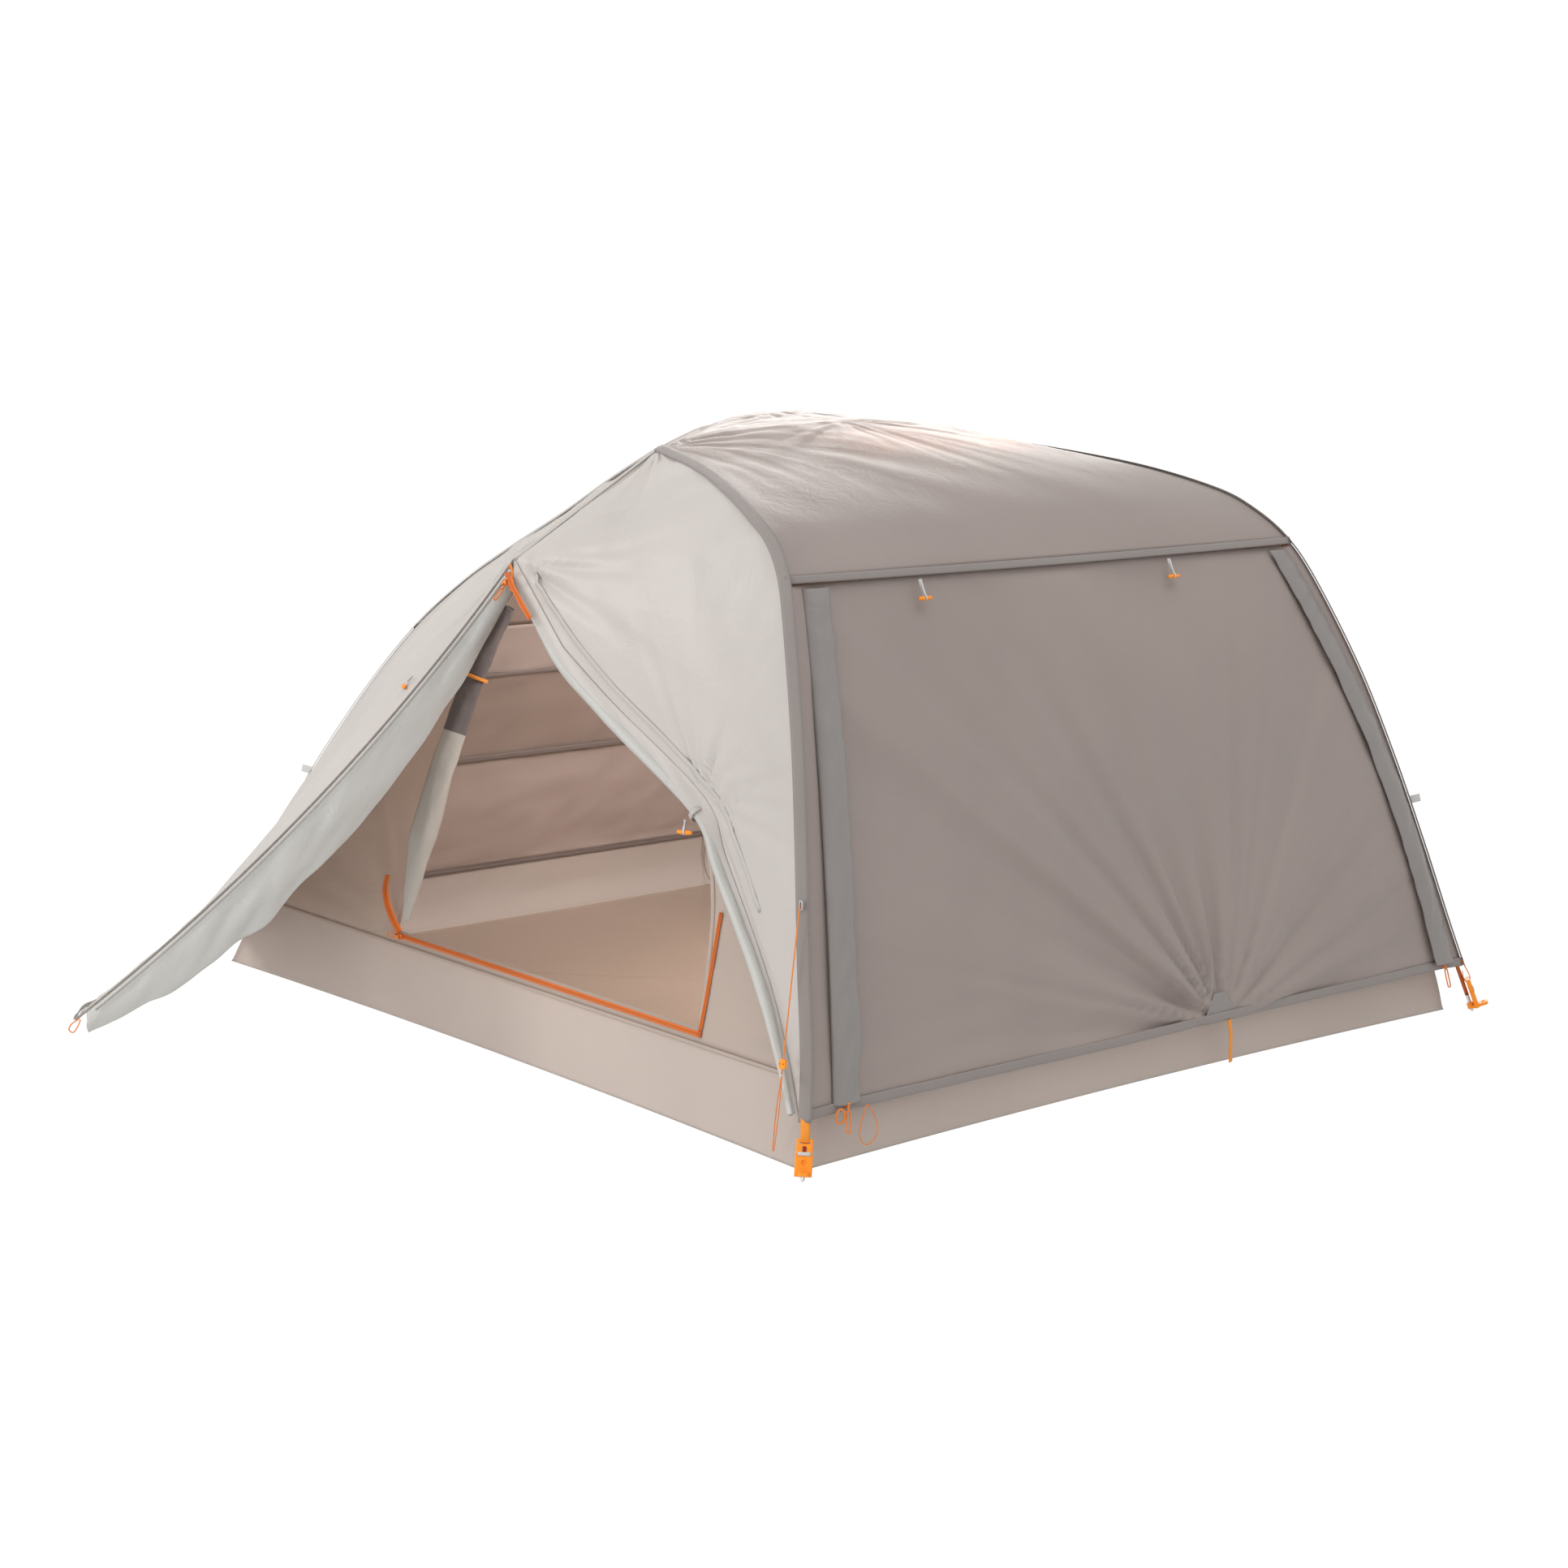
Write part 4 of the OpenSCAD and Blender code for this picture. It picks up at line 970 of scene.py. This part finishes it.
def around(x0, x1, y0, y1, u, z, bow):
    """A point on a four-sided ring with sides y0 deep at x0 and y1 deep at x1."""
    ring = [Vector((x0, -y0, z)), Vector((x1, -y1, z)), Vector((x1, y1, z)), Vector((x0, y0, z))]
    side = min(3, int(u * 4))
    t = u * 4 - side
    a, b = ring[side], ring[(side + 1) % 4]
    p = a.lerp(b, t)
    inward = Vector((-p.x if side in (1, 3) else 0, -p.y if side in (0, 2) else 0, 0)).normalized()
    return p + inward * (bow * 4 * t * (1 - t))


FLOOR_SHARE = 0.6


def tub_place(u, v):
    edge = around(-FLOOR_X + 0.002, FLOOR_X - 0.002, FLOOR_Y - 0.002, FLOOR_Y - 0.002, u, 0.0012, 0.026)
    if v <= FLOOR_SHARE:
        r = v / FLOOR_SHARE
        p = edge * r
        lift = 0.0025 * max(0, noise.noise(Vector((p.x * 3, p.y * 9, 1)))) * (1 - r ** 8)
        return Vector((p.x, p.y, 0.0012 + lift))
    h = (v - FLOOR_SHARE) / (1 - FLOOR_SHARE)
    top = around(tub_foot.x + 0.0006, tub_head.x - 0.0006, -tub_foot.y - 0.0006, -tub_head.y - 0.0006,
        u, TUB_H, 0.0)
    p = edge.lerp(top, h)
    sway = 0.004 * noise.noise(Vector((u * 60, h * 1.5, 4))) * math.sin(math.pi * h)
    return p + Vector((p.x, p.y, 0)).normalized() * (sway - 0.002)


tub = cloth("tub_floor_cloth", tub_place, 240, 60, lambda u, v, p: 0.0, [tub_floor, tub_wall],
    bands=lambda u, v: 0 if v < FLOOR_SHARE else 1)
tub["cut_width"], tub["cut_length"] = 2 * FLOOR_X + 0.34, 2 * FLOOR_Y + 0.34
tub["cut_area"] = min(sum(f.area for f in tub.data.polygons), tub["cut_width"] * tub["cut_length"])
pitch(tub, "stretched", "tub_fabric", "floor_tub")

# ---- Cords ----
# A thin strap that hangs free inside the foot end, and the orange guyline at the front head corner,
# which runs up through its adjuster and is tied off at both ends.


def cord_shape(name, line, radius, finish, sides=10, body="tent"):
    """A round cord, tube or pole swept along line; radius is one value or one for each point."""
    points, faces = [], []
    across = None
    for i, p in enumerate(line):
        way = (line[min(i + 1, len(line) - 1)] - line[max(i - 1, 0)]).normalized()
        if across is None:
            across = way.cross(Vector((1, 0, 0)) if abs(way.z) > 0.9 else Vector((0, 0, 1)))
        across = (across - way * across.dot(way)).normalized()
        up = way.cross(across)
        r = radius[i] if isinstance(radius, list) else radius
        for j in range(sides):
            turn = 2 * math.pi * j / sides
            points.append(p + r * (across * math.cos(turn) + up * math.sin(turn)))
        if i:
            for j in range(sides):
                a, b = (i - 1) * sides + j, (i - 1) * sides + (j + 1) % sides
                faces.append((a, b, b + sides, a + sides))
    faces.append(tuple(reversed(range(sides))))
    faces.append(tuple((len(line) - 1) * sides + j for j in range(sides)))
    mesh = bpy.data.meshes.new(name)
    mesh.from_pydata(points, [], faces)
    mesh.materials.append(finish)
    piece = bpy.data.objects.new(name, mesh)
    bpy.context.scene.collection.objects.link(piece)
    for face in mesh.polygons[:-2]:
        face.use_smooth = True
    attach(piece, body)
    return piece


grey_cord = tape_finish("grey_braided_cord", (0.42, 0.36, 0.32), 0.6, 3500.0, "Object")
CORD_HANG = [(-1.058, 0.470, 0.168), (-1.048, 0.474, 0.150), (-1.062, 0.480, 0.110),
    (-1.078, 0.492, 0.070), (-1.080, 0.505, 0.035), (-1.070, 0.515, 0.012)]
hang_line = bent(CORD_HANG, 8)
hanging = cord_shape("wall_cord_strap", hang_line, 0.002, grey_cord)
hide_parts("wall_cord")
span_of(hang_line)

LINE_TOP = Vector((1.071, -0.942, 0.506))
LINE_LOW = Vector((1.115, -1.020, 0.216))
LINE_END = Vector((1.076, -1.012, 0.034))
line_split = LINE_LOW + (LINE_LOW - LINE_TOP).normalized() * 0.020
guyline = cord_shape("corner_line_upper", bent([LINE_TOP, LINE_TOP.lerp(line_split, 0.5), line_split], 6),
    0.0015, orange_cord)
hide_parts("corner_line")
for name, y in (("front", -0.004), ("back", 0.004)):
    strand = cord_shape("corner_line_" + name, bent([line_split + Vector((y * 0.2, 0, -0.004)),
        line_split.lerp(LINE_END, 0.5) + Vector((y, 0, 0.001)), LINE_END + Vector((y * 0.5, 0, 0))], 8),
        0.0011, orange_cord)

# ---- Poles ----
# Drawn aluminium tubing of 9 mm, anodised orange and satin smooth, with elastic cord inside. Each
# leg ends in a bare metal tip below and in a moulded hub above.


MOTTLE = 60.0


def hard_finish(name, colour, rough, metal=0.0):
    """Moulded or metal hardware: a mottled tone, uneven gloss and a fine surface texture."""
    made, tree, body = blank_finish(name)
    worn = laid_on(tree, handled, tree.nodes.new("ShaderNodeTexCoord").outputs["Object"])
    worn.inputs["Broad"].default_value = MOTTLE
    worn.inputs["Crease"].default_value = MOTTLE * 14
    tree.links.new(tint_between(tree, worn.outputs["Tone"], toned(colour, 0.88), toned(colour, 1.12)),
        body.inputs["Base Color"])
    tree.links.new(maths(tree, "ADD", maths(tree, "MULTIPLY", worn.outputs["Tone"], 0.3), rough - 0.15),
        body.inputs["Roughness"])
    body.inputs["Metallic"].default_value = metal
    tree.links.new(bump(tree, worn.outputs["Crease Height"], 0.35, 0.00015), body.inputs["Normal"])
    return made


anodised = hard_finish("orange_anodised_tube", (0.50, 0.125, 0.028), 0.36, 0.85)
bare_metal = hard_finish("bare_turned_metal", (0.70, 0.71, 0.72), 0.34, 1.0)
hub_plastic = hard_finish("grey_moulded_nylon", (0.055, 0.055, 0.06), 0.5)
bright_plastic = hard_finish("orange_moulded_nylon", (1.0, 0.285, 0.004), 0.42)
bright_metal = hard_finish("orange_coated_metal", (0.80, 0.19, 0.015), 0.38, 0.25)
elastic = hard_finish("white_elastic_sheath", (0.72, 0.72, 0.70), 0.7)


POLE_R, TIP_LEFT, HUB_LEFT = 0.0045, 0.0423, 0.020
BROW = [(-0.130, -0.044, 1.351), (0, -0.044, 1.359), (0.130, -0.044, 1.351)]


def part_of(line, start, end):
    whole = span_of(line)
    steps = 90
    return [along(line, (start + (whole - start - end) * i / steps) / whole) for i in range(steps + 1)]


def pole(name, line):
    tube = cord_shape(name + "_tube", line, POLE_R, anodised, 20)
    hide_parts(name)


for name, line in LEGS:
    pole("pole_" + name, part_of(line, TIP_LEFT, HUB_LEFT))
pole("ridge_pole", part_of(bent(RIDGE, 8), HUB_LEFT, HUB_LEFT))
pole("brow_pole", bent(BROW, 10))

# ---- Hardware finishes ----
# Moulded feet, buckles, clips, toggles and the hubs; turned metal tips and sleeves; coated metal
# zip sliders with pulls of thin orange cord; woven loops for the guylines.

FINISHES = ((bright_plastic, ("foot_front_right", "foot_front_left", "foot_rear_right", "foot_rear_left",
        "buckle_front_right", "buckle_front_left", "buckle_rear_right", "buckle_rear_left", "pole_clips",
        "line_adjuster")),
    (bright_metal, ("slider_side_front", "slider_side_rear", "slider_door", "slider_porch")),
    (orange_cord, ("pull_side_front", "pull_side_rear", "pull_door", "pull_porch")),
    (bare_metal, ("pole_tips", "pole_ferrules")),
    (hub_plastic, ("hub_front", "hub_rear", "brow_swivel")),
    (elastic, ("shock_cords",)),
    (grey_tape, ("guy_tabs",)))
for finish, names in FINISHES:
    for name in names:
        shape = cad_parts[name]
        shape.data.materials.clear()
        shape.data.materials.append(finish)

# ---- Rolled door and rolled porch ----
# The inner door is a sheet rolled up from its free side and tied beside the doorway: mesh above a
# seam, pale cloth below. Half of the porch is rolled the same way and tied under the front panel.

roll_pale = cloth_finish("door_pale_cloth", (0.62, 0.60, 0.55), shine=0.42, through=0.30,
    glow=(0.85, 0.76, 0.70), crease=0.7)
roll_mesh = cloth_finish("door_dark_mesh", (0.16, 0.135, 0.13), shine=0.6, through=0.15,
    glow=(0.3, 0.25, 0.23), crease=0.6, weave=0.4)
roll_grey = cloth_finish("porch_rolled_cloth", (0.64, 0.64, 0.61), shine=0.4, through=0.22,
    glow=(0.74, 0.70, 0.66), crease=0.7)


def rolled_sheet(name, line, radii, turns, around_turn, rows, finishes, seed, bands=None):
    path = bent(line, 12)
    axes, across = [], None
    for i, p in enumerate(path):
        way = (path[min(i + 1, len(path) - 1)] - path[max(i - 1, 0)]).normalized()
        if across is None:
            across = way.cross(Vector((1, 0, 0)))
        across = (across - way * across.dot(way)).normalized()
        axes.append((across.copy(), way.cross(across)))

    def place(u, v):
        s = v * (len(path) - 1)
        i = min(len(path) - 2, int(s))
        p = path[i].lerp(path[i + 1], s - i)
        a, b = axes[i][0].lerp(axes[i + 1][0], s - i), axes[i][1].lerp(axes[i + 1][1], s - i)
        k = v * (len(radii) - 1)
        j = min(len(radii) - 2, int(k))
        outer = radii[j] + (radii[j + 1] - radii[j]) * (k - j)
        turn = 2 * math.pi * turns * u + 0.6 * v
        way = a * math.cos(turn) + b * math.sin(turn)
        dent = 0.16 * noise.noise(Vector((way.x * 1.4, way.y * 1.4 + seed, v * 7)))
        crimp = 0.06 * noise.noise(Vector((turn * 0.9, seed, v * 24)))
        r = outer * (0.12 + 0.83 * u) * (1 + dent + crimp - 0.06)
        return p + a * (r * math.cos(turn)) + b * (r * math.sin(turn))
    return cloth(name, place, turns * around_turn, rows, lambda u, v, p: 0.0, finishes,
        thickness=0.0006, bands=bands)


DOOR_ROLL = [(-0.318, -0.668, 0.945), (-0.358, -0.712, 0.835), (-0.380, -0.785, 0.655),
    (-0.382, -0.872, 0.420), (-0.377, -0.930, 0.225)]
door = rolled_sheet("rolled_door_cloth", DOOR_ROLL, (0.017, 0.029, 0.033, 0.036, 0.007), 5, 26, 120,
    [roll_mesh, roll_pale], 2.0, bands=lambda u, v: 0 if v < 0.5 else 1)
pitch(door, "folded", "pale_fabric", "door_roll")

PORCH_ROLL = [(0.014, -0.872, 1.050), (0.205, -0.890, 0.885), (0.372, -0.878, 0.778),
    (0.656, -0.868, 0.617), (0.762, -0.892, 0.510), (0.966, -0.955, 0.335), (1.066, -0.986, 0.205),
    (1.136, -1.018, 0.120)]
porch_half = rolled_sheet("rolled_porch_cloth", PORCH_ROLL,
    (0.008, 0.014, 0.018, 0.014, 0.016, 0.014, 0.010, 0.006), 4, 24, 220, [roll_grey], 6.0)
pitch(porch_half, "folded", "pale_fabric", "porch_roll")


# The turn of cloth that runs from the front panel's edge over the top of the rolled half
roll_line, roll_back = [APEX] + bent(ROLL_EDGE, 12), [APEX] + bent(PORCH_ROLL, 12)


def wrap_place(u, v):
    t = 1 - v
    a, b = along(roll_line, t), along(roll_back, t * 0.995)
    outer = 0.006 + 0.010 * math.sin(math.pi * t) ** 0.5
    over = Vector((0.45, -0.75, 0.20)) * outer
    mid = a.lerp(b, 0.5) + Vector((0.2, -0.5, 0.6)) * outer * 0.6
    start = a + Vector((0.002, -0.002, 0.002))
    return start * (1 - u) ** 2 + mid * 2 * u * (1 - u) + (b + over) * u * u


def wrap_relief(u, v, p):
    return 0.005 * ripple(p, 3, (0.7, 0, -0.7), 0.4, 0.035) * math.sin(math.pi * u)


wrap = cloth("porch_roll_wrap", wrap_place, 14, 220, wrap_relief, [pale_grey], thickness=0.0008)
pitch(wrap, "stretched", "pale_fabric")


def tie_round(name, path, step, radius, finish, width, slot):
    centre, way = path[step], (path[step + 1] - path[step - 1]).normalized()
    a = way.cross(Vector((1, 0, 0))).normalized()
    b = way.cross(a)
    loop = [centre + radius * (a * math.cos(2 * math.pi * i / 36) + b * math.sin(2 * math.pi * i / 36))
        for i in range(37)]
    pitch(ribbon(name, loop, lambda p: p - centre, width, finish, lift=0.0), "stretched", slot)


tie_round("door_tie", bent(DOOR_ROLL, 12), 16, 0.0325, orange_tape, 0.008, "orange_cord")
tie_round("porch_tie", bent(PORCH_ROLL, 12), 36, 0.0168, pale_seam, 0.012, "webbing")

# ---- Zips ----
# Coil zips on orange tape: along the doorway's sill and up its far side, on the porch's free edge
# and under the two storm flaps. The open end of the door's zip hangs free and curls.


TOOTH_PITCH = 0.0016


def coil_finish(name, colour):
    made, tree, coil = blank_finish(name)
    cut = tree.nodes.new("ShaderNodeUVMap")
    cut.uv_map = "cut"
    split = tree.nodes.new("ShaderNodeSeparateXYZ")
    tree.links.new(cut.outputs[0], split.inputs[0])
    # Painted shade: the gaps between the teeth are darkened to 0.6 of the coil colour, on top of the
    # bump.
    tooth = maths(tree, "ABSOLUTE", maths(tree, "SINE",
        maths(tree, "MULTIPLY", split.outputs[1], math.pi / TOOTH_PITCH)))
    tree.links.new(tint_between(tree, tooth, toned(colour, 0.6), toned(colour, 1)),
        coil.inputs["Base Color"])
    coil.inputs["Roughness"].default_value = 0.38
    tree.links.new(bump(tree, tooth, 1.0, 0.0008), coil.inputs["Normal"])
    return made


COIL_W = 0.0045
zip_coil = coil_finish("orange_zip_coil", (0.86, 0.19, 0.012))


def zip_on(name, line, facing, width, *nodes, held="stretched", finish=zip_tape, teeth=zip_coil):
    pitch(ribbon(name + "_tape", line, facing, width, finish, lift=0.0), held, "zip_tape", *nodes)
    coil = ribbon(name + "_coil", line, facing, COIL_W, teeth, lift=0.0009, crown=0.0012)
    pitch(coil, "stretched", "zip_tape")


sill = [Vector((x, body_front_y(x, 0.186) - 0.004, 0.186)) for x in
    (-0.420 + 1.177 * i / 60 for i in range(61))]
zip_on("door_sill_zip", sill, lambda p: front_way, 0.012, "door_zip")
riser = [Vector((0.751, body_front_y(0.751, z) - 0.004, z)) for z in
    (0.192 + 0.238 * i / 24 for i in range(25))]
zip_on("door_side_zip", riser, lambda p: front_way, 0.011)
tail = bent([(-0.398, -0.934, 0.196), (-0.418, -0.938, 0.222), (-0.448, -0.934, 0.252),
    (-0.470, -0.926, 0.286), (-0.474, -0.916, 0.318)], 8)
zip_on("door_zip_tail", tail, lambda p: Vector((0.6 - 4 * (p.z - 0.2), -1, 0.3 + 4 * (p.z - 0.2))), 0.017,
    held="hung")
for name, depths in (("front", FRONT_ZIP_Y), ("rear", REAR_ZIP_Y)):
    line = [side_zip(depths, 0.004 + 0.981 * i / 60) + Vector((-0.0055, 0, 0)) for i in range(61)]
    zip_on("side_zip_" + name, line, lambda p: Vector((1, 0, 0.2)), 0.012, "side_zip_" + name)
line = [arc_at(APEX, PORCH_MID, PORCH_TIP, 0.03 + 0.93 * i / 60) + Vector((0.024, -0.014, -0.006))
    for i in range(61)]
zip_on("porch_zip", line, lambda p: Vector((0.5, -0.2, -0.8)), 0.010, "porch_zip",
    finish=pale_seam, teeth=coil_finish("pale_zip_coil", (0.55, 0.54, 0.52)))
line = bent([(0.010, -0.892, 1.062), (0.040, -0.899, 1.040), (0.085, -0.905, 1.003),
    (0.120, -0.906, 0.972)], 8)
zip_on("roll_zip_end", line, lambda p: Vector((0.3, -1, 0.4)), 0.012, held="hung")

# ---- Corner webbing ----
# The fly is pulled down at each corner by a short length of orange webbing from the hem to the
# hooded buckle, doubled back through the buckle's slot.


def foot_frame(line):
    z = (along(line, 0.042 / span_of(line)) - line[0]).normalized()
    y = z.cross(Vector((line[0].x, line[0].y, 0))).normalized()
    return line[0], y.cross(z), y, z


for name, line in LEGS:
    base, x, y, z = foot_frame(line)
    at = lambda dx, dz: base + x * dx + z * dz
    hem = at_height(offset(line, 0.015), HEM_Z + 0.016)
    strap = ribbon("corner_webbing_" + name, bent([hem, hem.lerp(at(0.019, 0.088), 0.5), at(0.020, 0.086),
        at(0.0155, 0.0745), at(0.009, 0.0745), at(0.005, 0.084), at(0.007, 0.100)], 6),
        lambda p, y=y, x=x: x, 0.018, orange_tape, lift=0.0)
    tuple(at(0.020, 0.090))
    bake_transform(strap)

# ---- Toggles ----
# Moulded orange bars, 37 mm long with a waist for the strap, each on a loop of thin grey tape. They
# hold the rolled door, the rolled porch half and the head end panel when that is rolled up.


TOGGLE_HALF = 0.0185


def toggle_girth(s):
    """The bar's radius from one end, -1, to the other, 1: round ends, a waist and a rim each side."""
    body = 0.0012 + 0.0032 * math.sqrt(max(0, 1 - abs(s) ** 5))
    return body - 0.0010 * math.exp(-(s / 0.12) ** 2) + 0.0012 * math.exp(-((abs(s) - 0.27) / 0.07) ** 2)


def add_toggle(name, top, up, out, strap):
    z = Vector(up).normalized()
    y = z.cross(Vector(out)).normalized()
    x = y.cross(z)
    middle = Vector(top) - z * strap
    steps = [i / 12 - 1 for i in range(25)]
    bar = cord_shape("toggle_bar_" + name, [middle + y * (TOGGLE_HALF * s) for s in steps],
        [toggle_girth(s) for s in steps], bright_plastic, 18, "toggle_" + name)
    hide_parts("toggle_" + name)
    loop = bent([Vector(top) + y * 0.002, middle + z * 0.012 + x * 0.0022, middle + x * 0.0048,
        middle - z * 0.0046, middle - x * 0.0042, middle + z * 0.012 - x * 0.0014,
        Vector(top) - y * 0.002], 6)
    tape = ribbon("toggle_strap_" + name, loop, lambda p: (p - middle) + x * 1e-4, 0.0045, grey_tape,
        lift=0.0, thickness=0.0007)
    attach(tape, "toggle_" + name)


side_x = at_height(fly_head, SEAM_Z - 0.006).x + 0.016
add_toggle("side_front", (side_x, -0.412, 1.080), (-0.42, 0, 0.9), (1, 0, 0), 0.042)
add_toggle("side_rear", (side_x, 0.335, 1.080), (-0.42, 0, 0.9), (1, 0, 0), 0.042)
add_toggle("roll", (0.661, -0.905, 0.610), (0, 0, 1), (0.342, -0.940, 0), 0.026)
add_toggle("door", (-0.352, -0.775, 0.818), (0, 0, 1), (0, -1, 0), 0.024)


def porch_point(t, share):
    a, b = along(foot_down, t) + Vector((0.003, 0, 0)), along(left_edge, t)
    return a.lerp(b, share)


hold = porch_point(0.45, 0.84)
slope = (porch_point(0.44, 0.84) - hold).normalized()
off_cloth = slope.cross(porch_point(0.45, 0.80) - hold).normalized()
add_toggle("porch", hold + off_cloth * 0.009, slope, off_cloth, 0.030)

# ---- Small loops ----
# Thin orange cord at the porch's point and below the front corner of the hem, a moulded ring beside
# it, cord loops at the porch's apex, and a reflective tab on each corner buckle.


def cord_loop(name, start, points, radius):
    piece = cord_shape(name, bent([start + Vector(q) for q in points], 8), radius, orange_cord, 8)


cord_loop("porch_tip_loop", PORCH_TIP, ((0.006, 0.006, 0.004), (-0.002, -0.008, -0.006),
    (-0.010, -0.012, -0.020), (-0.003, -0.006, -0.026), (0.006, 0.000, -0.014),
    (0.008, 0.007, 0.002)), 0.0014)
corner = at_height(fly_head, HEM_Z + 0.004) + Vector((0.002, 0, 0))
cord_loop("hem_corner_loop", corner, ((0.004, 0.150, 0.002), (0.006, 0.138, -0.022),
    (0.008, 0.128, -0.055), (0.008, 0.146, -0.078), (0.008, 0.172, -0.062), (0.007, 0.170, -0.030),
    (0.004, 0.154, 0.001)), 0.0012)
ring_at = corner + Vector((0.005, 0.082, -0.010))
cord_loop("hem_ring", ring_at, [(0, 0.011 * math.cos(a), 0.014 * math.sin(a))
    for a in (2 * math.pi * i / 12 for i in range(13))], 0.0022)
cord_loop("apex_loop_high", APEX, ((0.012, -0.022, -0.018), (0.028, -0.032, -0.006),
    (0.040, -0.034, -0.020), (0.034, -0.032, -0.040), (0.018, -0.026, -0.038),
    (0.010, -0.020, -0.024)), 0.0022)
cord_loop("apex_loop_low", APEX, ((0.012, -0.022, -0.030), (0.014, -0.026, -0.052),
    (0.030, -0.032, -0.062), (0.042, -0.034, -0.048), (0.034, -0.032, -0.034)), 0.0022)

for name, line in LEGS:
    base, x, y, z = foot_frame(line)
    at = base + x * 0.0188 + z * 0.052
    tab = ribbon("buckle_tab_" + name, [at + y * (-0.0125 + 0.025 * i / 8) for i in range(9)],
        lambda p, x=x: x, 0.007, grey_tape, lift=0.0, thickness=0.0008)
    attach(tab, "buckle_" + name)
